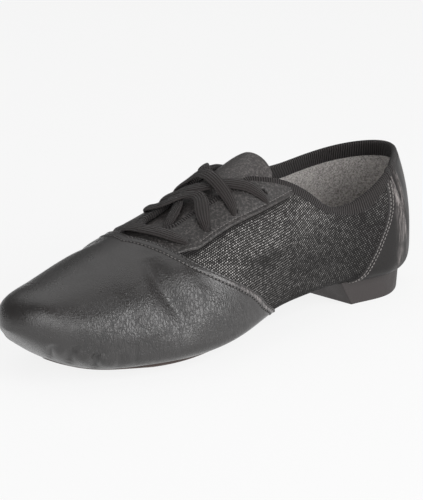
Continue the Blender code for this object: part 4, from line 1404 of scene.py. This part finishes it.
def build_tongue(looks):
    """Tongue: a flat rounded tube whose section is half cos q wide and half the thickness sin q deep."""
    t = np.linspace(0, 1, 120)
    at = TONGUE[0][0] + (TONGUE[-1][0] - TONGUE[0][0]) * t ** 1.6
    q = np.linspace(0, 2 * math.pi, 120, endpoint=False)
    half = spline_column(TONGUE, 1, at) * MM
    first = np.clip((at - TONGUE[0][0]) / (TONGUE[1][0] - TONGUE[0][0]), 0, 1)
    half = np.where(first < 1, TONGUE[1][1] * MM * quarter_round(first), half)
    sink = spline_column(TONGUE, 2, at) * INSTEP
    wide = half[:, None] * squared_off(np.cos(q), TONGUE_POWER)
    u = u_of(at[:, None] - TONGUE_SKEW * wide / LENGTH * (1 - t[:, None]))
    thick = TONGUE_HALF * squared_off(np.sin(q), TONGUE_POWER)
    middle = np.full_like(u, math.pi / 2)
    centre = last_point(u, middle)
    normal = outward(u, middle)
    wide = wide + TONGUE_SHIFT * (1 - t[:, None]) ** 2
    ring = ring_for_gap(u, np.abs(wide))
    side_point = last_point(u, np.where(wide >= 0, ring, math.pi - ring))
    drop = side_point[..., 2] - centre[..., 2]
    points = centre + np.stack([wide, 0 * wide, drop], axis=-1)
    points = points - normal * sink[:, None, None] + normal * thick[..., None]
    material = leather_material("tongue_leather", looks.tongue_colour, roughness=0.42, grain=4.0, painted_glints=0.5)
    return make_solid("tongue_leather", points, material, ("tongue",))


def floor_point(u, share, depth):
    """Place under the foot at a signed share of the half width, at a depth below the last's outside."""
    ring = floor_ring(share)
    return last_point(u, ring) + outward(u, ring) * np.asarray(depth)[..., None]


def pad(name, reach, share, ends, top_depth, bottom_depths, material, hides):
    """Flat piece that follows the foot's floor: a rounded tube, wide share cos q, between two depths.

    bottom_depths are places along LENGTH and the depth at each of them.
    """
    first_u, last_u = u_of(reach)
    t = 0.5 - 0.5 * np.cos(math.pi * np.linspace(0, 1, 120))
    u = first_u + (last_u - first_u) * t
    q = np.linspace(0, 2 * math.pi, 96, endpoint=False)
    width = share * rounded(u, u[0], u[-1], *ends)
    across = width[:, None] * squared_off(np.cos(q), PAD_POWER)
    low = np.interp(at_of(u), *bottom_depths)[:, None]
    depth = (top_depth + low) / 2 + (low - top_depth) / 2 * squared_off(np.sin(q), PAD_POWER)
    points = floor_point(u[:, None] + 0 * q, across, depth + 0 * across)
    points[..., 2] = np.maximum(points[..., 2], 0.0)
    return make_solid(name, points, material, hides)


def build_insole(looks):
    """Felt footbed over the insole board."""
    material = felt_material("insole_felt", looks.felt_colour)
    return pad("footbed", FOOTBED_REACH, FOOTBED_SHARE, FOOTBED_ENDS, -BOARD_DEPTH - INSOLE_THICK,
               FOOTBED_DEPTHS, material, ("insole", "insole_board"))


def build_sole(looks):
    """Front sole: a thin suede patch, flat on the ground under the ball."""
    material = suede_material("sole_suede", looks.sole_colour)
    return pad("front_sole", SOLE_REACH, SOLE_SHARE, SOLE_ENDS, SOLE_TOP, SOLE_DEPTHS, material,
               ("forefoot_sole",))


def build_heel(looks):
    """Heel block: the outline of the seat carried down to the ground, drawn in, with a raked breast."""
    q = np.linspace(0, 1, 241, endpoint=False)
    levels = np.linspace(0, 1, 25)
    on_breast = q >= 2 * HEEL_LEG
    breast_u = u_of(BREAST_AT)
    around = 1 - q / HEEL_LEG
    front = np.clip((q - 2 * HEEL_LEG) / (1 - 2 * HEEL_LEG), 0, 1)
    u = np.where(on_breast, breast_u, breast_u * np.abs(around))
    side = np.where(on_breast, -1 + 2 * front, np.where(around >= 0, 1.0, -1.0))
    top = floor_point(u, HEEL_SHARE * side, np.full_like(u, HEEL_TOP))
    back = top[:, 1].max()
    share = (back - top[:, 1]) / (back - top[:, 1].min())
    bottom = top.copy()
    bottom[:, 0] = top[:, 0] * HEEL_DRAW
    bottom[:, 1] = top[:, 1] + BREAST_RAKE * np.clip(share, 0, 1) ** BREAST_POWER - BACK_RAKE * (1 - share)
    bottom[:, 2] = 0
    walls = top[None] * (1 - levels[:, None, None]) + bottom[None] * levels[:, None, None]
    centre_top = top.mean(axis=0)
    inner = np.linspace(0, 1, 13)[:-1, None, None]
    cap_top = centre_top + (top - centre_top) * inner
    cap_low = bottom.mean(axis=0) + (bottom - bottom.mean(axis=0)) * inner[::-1]
    cap_top[..., 2] = np.maximum(cap_top[..., 2], 0)
    points = np.concatenate([cap_top, walls, cap_low])
    material = rubber_material("heel_rubber", looks.heel_colour)
    return make_solid("heel", points, material, ("heel_block",))


# Laces and stitches

LACE_STRANDS = {
    # name: places as (at, gap from the axis mm, height over the last mm, half width mm)
    "lace_bar": (
        (0.724, -9.5, -1.2, 1.4), (0.722, -8.5, 0.9, 2.2), (0.720, -5.0, 2.4, 2.9), (0.714, 4.0, 2.7, 3.2),
        (0.702, 12.0, 2.5, 3.2), (0.690, 18.5, 2.0, 2.5), (0.683, 21.0, 0.9, 1.6), (0.681, 22.0, -1.2, 1.2),
    ),
    "lace_second": (
        (0.628, -20.5, -1.2, 1.3), (0.630, -19.0, 1.0, 2.0), (0.640, -12.0, 2.2, 2.8),
        (0.625, -5.5, 2.5, 3.0), (0.598, -1.0, 2.0, 3.0), (0.590, 4.0, 1.7, 3.1), (0.600, 9.5, 2.2, 3.4),
        (0.620, 15.5, 2.3, 3.3), (0.630, 19.5, 1.4, 2.2), (0.632, 21.5, -1.2, 1.3),
    ),
    "lace_under": (
        (0.690, 9.5, -1.8, 2.2), (0.672, 6.0, -1.2, 2.4), (0.650, 2.8, -0.6, 2.6), (0.618, -2.0, 0.0, 2.6),
        (0.600, -8.0, 0.2, 2.4), (0.590, -14.0, 0.8, 2.0), (0.585, -18.0, -1.2, 1.3),
    ),
    "lace_third": (
        (0.600, -19.5, -1.2, 1.4), (0.600, -16.5, 1.0, 2.3), (0.597, -10.5, 1.7, 2.9),
        (0.584, -3.0, 2.1, 3.1), (0.566, 3.5, 2.0, 3.1), (0.545, 8.0, 1.9, 3.1), (0.530, 12.0, 2.1, 3.1),
        (0.512, 16.0, 2.1, 3.0), (0.496, 20.0, 1.6, 2.5), (0.485, 22.8, 0.8, 1.6), (0.481, 23.6, -1.2, 1.1),
    ),
    "lace_top": (
        (0.562, -20.5, -1.0, 1.3), (0.560, -17.5, 1.0, 2.4), (0.552, -12.0, 1.7, 3.1),
        (0.545, -5.0, 3.3, 3.3), (0.548, 2.0, 4.4, 3.3), (0.553, 8.0, 4.3, 3.2), (0.557, 14.0, 2.8, 3.0),
        (0.562, 19.0, 1.6, 2.2), (0.566, 21.2, 0.7, 1.5), (0.567, 22.2, -1.2, 1.1),
    ),
    "lace_loop": (
        (0.500, -17.0, -0.5, 2.3), (0.506, -13.0, 1.4, 2.8), (0.518, -8.5, 2.6, 3.0), (0.532, -4.5, 2.4, 2.8),
        (0.542, -2.5, 0.5, 2.0),
    ),
}

# The CAD's lace solids, by the strand that shows in their place
LACE_HIDES = {
    "lace_bar": ("lace_bar_front",),
    "lace_second": ("lace_bar_second",),
    "lace_top": ("lace_cross",),
}


def strand_points(places, count=150):
    """Centre line, normals and half widths of a lace through its places, as smooth curves."""
    rows = np.array(places)
    u = u_of(rows[:, 0])
    gap = rows[:, 1] * MM
    ring = ring_for_gap(u, np.abs(gap))
    ring = np.where(gap >= 0, ring, math.pi - ring)
    base = last_point(u, ring) + outward(u, ring) * (rows[:, 2] * MM)[:, None]
    chord = way_along(base)
    x = np.linspace(0, chord[-1], count)
    centre = natural_spline(chord, base, x)
    normal = unit(natural_spline(chord, outward(u, ring), x))
    half = natural_spline(chord, (rows[:, 3] * MM)[:, None], x)[:, 0]
    return centre, normal, half


def build_strand(name, places, material, hides):
    """Flat lace: an oval profile carried along the strand's centre line, ends closed to a point."""
    centre, normal, half = strand_points(places)
    tangent = unit(np.gradient(centre, axis=0))
    side = unit(np.cross(normal, tangent))
    normal = np.cross(tangent, side)
    q = np.linspace(0, 2 * math.pi, 28, endpoint=False)
    wide = squared_off(np.cos(q), LACE_POWER)
    deep = squared_off(np.sin(q), LACE_POWER)
    ends = np.ones(len(centre))
    ends[[0, -1]] = 0
    thick = (LACE_AREA / np.maximum(half, LACE_LEAST)).clip(*LACE_THICK)
    bow = LACE_BOW * (1 - wide ** 2)
    points = (centre[:, None] + side[:, None] * (half * ends)[:, None, None] * wide[None, :, None]
              + normal[:, None] * ((thick * ends)[:, None] * deep + bow)[..., None])
    uv = np.stack(np.broadcast_arrays(way_along(centre)[:, None], (wide * LACE_MAP)[None, :]), axis=-1) / MM
    return make_solid(name, points, material, hides, uv)


def build_laces(looks):
    """All the strands of the lace."""
    material = lace_material("lace_weave", looks.lace_colour)
    for name, places in LACE_STRANDS.items():
        build_strand(name, places, material, LACE_HIDES.get(name, ()))


def stitch_shape():
    """Unit stitch along x: a rounded bar that dips at both ends."""
    x = np.array([-0.5, -0.42, -0.2, 0.2, 0.42, 0.5])
    thick = np.array([0.25, 0.8, 1.0, 1.0, 0.8, 0.25])
    drop = np.array([-1.4, -0.5, 0.0, 0.0, -0.5, -1.4])
    q = np.radians(np.arange(0, 360, 60))
    ring = np.stack([np.zeros_like(q), np.cos(q), np.sin(q)], axis=-1)
    points = ring[None] * thick[:, None, None]
    points[..., 2] += drop[:, None]
    return x, points


def stitch_row(path, normal, pitch, length, radius, phase=0.0):
    """Vertices and faces of one row of stitches set along a path, shifted by a phase in pitches."""
    way = way_along(path)
    count = max(int(way[-1] / pitch), 1)
    middle = (np.arange(count) + 0.5 + phase) * way[-1] / (count + 0.5)
    centre = read_along(middle, way, path)
    up = unit(read_along(middle, way, normal))
    step = 0.2 * MM
    along = unit(read_along(middle + step, way, path) - read_along(middle - step, way, path))
    side = np.cross(up, along)
    x, shape = stitch_shape()
    points = (centre[:, None, None] + along[:, None, None] * (x * length)[None, :, None, None]
              + side[:, None, None] * (shape[None, ..., 1:2] * radius)
              + up[:, None, None] * (shape[None, ..., 2:3] * radius))
    rings, sides = shape.shape[:2]
    index = np.arange(rings * sides).reshape(rings, sides)
    turned = np.roll(index, -1, axis=1)
    quads = np.stack([index[:-1], turned[:-1], turned[1:], index[1:]], axis=-1).reshape(-1, 4)
    first_caps = index[0][[[0, 1, 2, 3], [0, 3, 4, 5]]]
    last_caps = index[-1][[[3, 2, 1, 0], [5, 4, 3, 0]]]
    faces = np.concatenate([quads, first_caps, last_caps])
    all_faces = (faces[None] + (np.arange(count) * rings * sides)[:, None, None]).reshape(-1, 4)
    return points.reshape(-1, 3), all_faces


def build_stitches(name, rows, material):
    """One object of several stitch rows."""
    points = []
    faces = []
    start = 0
    for row in rows:
        row_points, row_faces = stitch_row(*row)
        points.append(row_points)
        faces.append(row_faces + start)
        start += len(row_points)
    mesh = bpy.data.meshes.new(name)
    mesh.from_pydata(np.concatenate(points).tolist(), [], np.concatenate(faces).tolist())
    mesh.polygons.foreach_set("use_smooth", np.ones(len(mesh.polygons), bool))
    return finish_piece(name, mesh, material)


def seam_line(shift, lift, count=700):
    """Line along the vamp seam, moved towards the toe by shift, at a height over the last."""
    half = even_ring(SEAM_SECTION, math.radians(-70), math.pi / 2, np.linspace(0, 1, count // 2))
    ring = np.concatenate([half, (math.pi - half)[::-1][1:]])
    u = u_of(vamp_seam_at(outer_twin(ring)) + shift / LENGTH)
    return skin(u, ring, lift), outward(u, ring)


def vamp_rows():
    """Both stitch rows of the vamp seam and the needle holes between their stitches."""
    rows = []
    holes = []
    for shift in SEAM_ROWS:
        path, normal = seam_line(shift, VAMP_LIFT + STITCH_RAISE)
        rows.append((path, normal, *VAMP_STITCH))
        up = normal[HOLE_TRIM:-HOLE_TRIM]
        holes.append((path[HOLE_TRIM:-HOLE_TRIM] - up * HOLE_SINK, up, *VAMP_HOLE, HOLE_PHASE))
    return rows, holes


def eyestay_rows():
    """Stitch rows along the border of the eyestay's two legs."""
    us, rings = eyestay_places(UNDER_TAPE)
    base = last_point(us, rings)
    away = np.linalg.norm(base - base[:, -1:], axis=-1)
    across = np.linspace(1, 0, us.shape[1])
    rows = []
    for leg in (slice(0, EYESTAY_LEG), slice(-EYESTAY_LEG, None)):
        place = np.array([np.interp(EYESTAY_ROW, line[::-1], across) for line in away[leg]])
        u = us[leg, 0]
        ring = rings[leg, 0] + (rings[leg, -1] - rings[leg, 0]) * place
        rows.append((skin(u, ring, EYESTAY_LIFT), outward(u, ring), *EYESTAY_STITCH))
    return rows


def counter_rows():
    """Two stitch rows along each front border of the heel counter."""
    u, ring = counter_places()
    base = last_point(u, ring)
    rows = []
    for inset in COUNTER_ROWS:
        for edge in (0, -1):
            away = np.linalg.norm(base - base[:, [edge]], axis=-1)
            order = slice(None, None, 1 if edge == 0 else -1)
            line_u = np.array([np.interp(inset, away[k, order], u[k, order]) for k in range(len(u))])
            line_ring = np.array([np.interp(inset, away[k, order], ring[k, order]) for k in range(len(u))])
            path = skin(line_u, line_ring, COUNTER_LIFT)
            rows.append((path, outward(line_u, line_ring), *COUNTER_STITCH))
    return rows


def build_seams(looks):
    """Stitch rows of the vamp seam, the eyestay's border and the counter's border."""
    # The needle holes are dark pieces of painted shade sunk into the vamp's seam
    dark = thread_material("needle_hole_shade", looks.thread_colour)
    light = thread_material("light_thread", looks.light_thread_colour)
    middling = thread_material("vamp_thread", looks.vamp_thread_colour)
    rows, holes = vamp_rows()
    build_stitches("vamp_stitches", rows, middling)
    build_stitches("vamp_holes", holes, dark)
    build_stitches("eyestay_stitches", eyestay_rows(), middling)
    build_stitches("counter_stitches", counter_rows(), light)


# Stage

def add_light(name, size, energy, place, target):
    """Soft square light aimed at a target."""
    data = bpy.data.lights.new(name, 'AREA')
    data.shape = 'SQUARE'
    data.size = size
    data.energy = energy
    light = bpy.data.objects.new(name, data)
    bpy.context.scene.collection.objects.link(light)
    light.location = place
    light.rotation_euler = (Vector(target) - Vector(place)).to_track_quat('-Z', 'Y').to_euler()
    return light


def camera_axes():
    """Right, up and backward directions of the camera from its azimuth, elevation and roll."""
    a, e, r = (math.radians(CAMERA[key]) for key in ("azimuth", "elevation", "roll"))
    back = Vector((math.cos(a) * math.cos(e), -math.sin(a) * math.cos(e), math.sin(e)))
    right = Vector((math.sin(a), math.cos(a), 0))
    up = back.cross(right)
    return right * math.cos(r) + up * math.sin(r), up * math.cos(r) - right * math.sin(r), back


def build_stage(looks):
    """Pale floor, soft lights and the photograph's camera."""
    mesh = bpy.data.meshes.new("floor")
    half = FLOOR_HALF
    corners = [(-half, -half, 0), (half, -half, 0), (half, half, 0), (-half, half, 0)]
    mesh.from_pydata(corners, [], [(0, 1, 2, 3)])
    material, _, shader = start_material("floor_paper", looks.floor_colour, roughness=0.9, specular=0.1)
    shader.inputs["Emission Color"].default_value = (1, 1, 1, 1)
    shader.inputs["Emission Strength"].default_value = looks.floor_glow
    mesh.materials.append(material)
    floor = bpy.data.objects.new("floor", mesh)
    bpy.context.scene.collection.objects.link(floor)
    world = bpy.data.worlds.new("studio")
    world.use_nodes = True
    background = world.node_tree.nodes["Background"]
    background.inputs["Color"].default_value = (1, 1, 1, 1)
    background.inputs["Strength"].default_value = looks.surround_light
    bpy.context.scene.world = world
    bpy.context.scene.view_settings.view_transform = 'Standard'
    for name, size, power, place in LIGHTS:
        add_light(name, size, looks.key_light * power, place, LIGHT_TARGET)
    right, up, back = camera_axes()
    data = bpy.data.cameras.new("photo_camera")
    data.sensor_width = 36.0
    data.lens = CAMERA["focal_px"] / max(PHOTO_SIZE) * data.sensor_width
    data.clip_start = 0.05
    data.clip_end = 20.0
    camera = bpy.data.objects.new("photo_camera", data)
    bpy.context.scene.collection.objects.link(camera)
    turn = Matrix((right, up, back)).transposed().to_4x4()
    camera.matrix_world = Matrix.Translation(Vector(CAMERA["target"]) + back * CAMERA["distance"]) @ turn
    bpy.context.scene.camera = camera


# The add-on

def colour_property(name, description, default):
    """Colour setting."""
    return FloatVectorProperty(name=name, description=description, default=default, size=3, min=0.0, max=1.0,
                               subtype='COLOR')


class ShoeLooks(bpy.types.PropertyGroup):
    """Sizes and colours of the shoe's looks"""

    leather_colour: colour_property("Leather", "Colour of the vamp and counter", (0.026, 0.0235, 0.023))
    eyestay_colour: colour_property("Eyestay", "Colour of the leather round the eyelets",
                                    (0.018, 0.0163, 0.0158))
    tongue_colour: colour_property("Tongue", "Colour of the tongue", (0.036, 0.0325, 0.0317))
    mesh_colour: colour_property("Mesh yarn", "Colour of the mesh's raised yarn", (0.42, 0.405, 0.394))
    tape_colour: colour_property("Edge tape", "Colour of the ribbed tape", (0.017, 0.0146, 0.0143))
    lace_colour: colour_property("Lace", "Colour of the lace", (0.0205, 0.0174, 0.0169))
    felt_colour: colour_property("Felt", "Colour of the lining and footbed", (0.27, 0.254, 0.243))
    sole_colour: colour_property("Sole", "Colour of the front sole", (0.050, 0.036, 0.032))
    heel_colour: colour_property("Heel", "Colour of the heel block", (0.030, 0.0255, 0.025))
    # Painted shade in the vamp's needle holes
    thread_colour: colour_property("Needle holes", "Colour of the vamp's needle holes",
                                   (0.005, 0.0045, 0.0045))
    vamp_thread_colour: colour_property("Vamp thread", "Colour of the vamp's stitches", (0.10, 0.092, 0.089))
    light_thread_colour: colour_property("Light thread", "Colour of the counter's stitches",
                                         (0.17, 0.157, 0.151))
    floor_colour: colour_property("Floor", "Colour of the floor", (0.10, 0.10, 0.10))
    floor_glow: FloatProperty(name="Floor glow", description="Light that the pale floor gives by itself",
                              default=0.85, min=0.0, max=1.0, subtype='FACTOR')
    crease_depth: FloatProperty(name="Crease depth", description="Depth of the creases, as a share",
                                default=1.0, min=0.0, max=2.0, subtype='FACTOR')
    key_light: FloatProperty(name="Key light", description="Power of the key light", default=12.5, min=0.0,
                             subtype='POWER', unit='POWER')
    surround_light: FloatProperty(name="Surround light", description="Strength of the light from all round",
                                  default=0.16, min=0.0)


def piece_operator(word, label, doc, build):
    """Operator class that builds one piece or group of pieces."""

    def execute(self, context):
        """Build the piece."""
        build(context.scene.shoe_looks)
        return {'FINISHED'}

    return type("SHOE_OT_" + word, (bpy.types.Operator,), {
        "__doc__": doc,
        "bl_idname": "shoe." + word,
        "bl_label": label,
        "bl_options": {'REGISTER', 'UNDO'},
        "execute": execute,
    })


OPERATORS = (
    piece_operator("vamp", "Vamp", "Build the vamp leather with its creases and pleats", build_vamp),
    piece_operator("quarters", "Quarters", "Build the mesh quarters", build_quarters),
    piece_operator("lining", "Lining", "Build the felt lining", build_lining),
    piece_operator("eyestay", "Eyestay", "Build the leather round the throat", build_eyestay),
    piece_operator("binding", "Edge tape", "Build the ribbed tape round the topline", build_binding),
    piece_operator("counter", "Heel counter", "Build the leather round the heel", build_counter),
    piece_operator("tongue", "Tongue", "Build the tongue", build_tongue),
    piece_operator("insole", "Footbed", "Build the felt footbed", build_insole),
    piece_operator("sole", "Front sole", "Build the front sole", build_sole),
    piece_operator("heel", "Heel", "Build the heel block", build_heel),
    piece_operator("laces", "Laces", "Build the lace's strands", build_laces),
    piece_operator("seams", "Stitches", "Build all the stitch rows", build_seams),
    piece_operator("stage", "Stage", "Build the floor, lights and camera", build_stage),
)


class SHOE_PT_looks(bpy.types.Panel):
    """Panel that lists the shoe's pieces and settings"""

    bl_label = "Jazz Shoe"
    bl_idname = "SHOE_PT_looks"
    bl_space_type = 'VIEW_3D'
    bl_region_type = 'UI'
    bl_category = "Shoe"

    def draw(self, context):
        """List the settings, then the operators."""
        looks = context.scene.shoe_looks
        for key in ShoeLooks.__annotations__:
            self.layout.prop(looks, key)
        for operator in OPERATORS:
            self.layout.operator(operator.bl_idname)


def register():
    """Register the settings, operators and panel."""
    for cls in (ShoeLooks, *OPERATORS, SHOE_PT_looks):
        bpy.utils.register_class(cls)
    bpy.types.Scene.shoe_looks = PointerProperty(type=ShoeLooks)


def unregister():
    """Take them all out again."""
    del bpy.types.Scene.shoe_looks
    for cls in (SHOE_PT_looks, *reversed(OPERATORS), ShoeLooks):
        bpy.utils.unregister_class(cls)


def main():
    """Build every piece in order and write the two boxes."""
    register()
    for operator in OPERATORS:
        getattr(bpy.ops.shoe, operator.bl_idname.split(".")[1])()


if __name__ == "__main__":
    main()
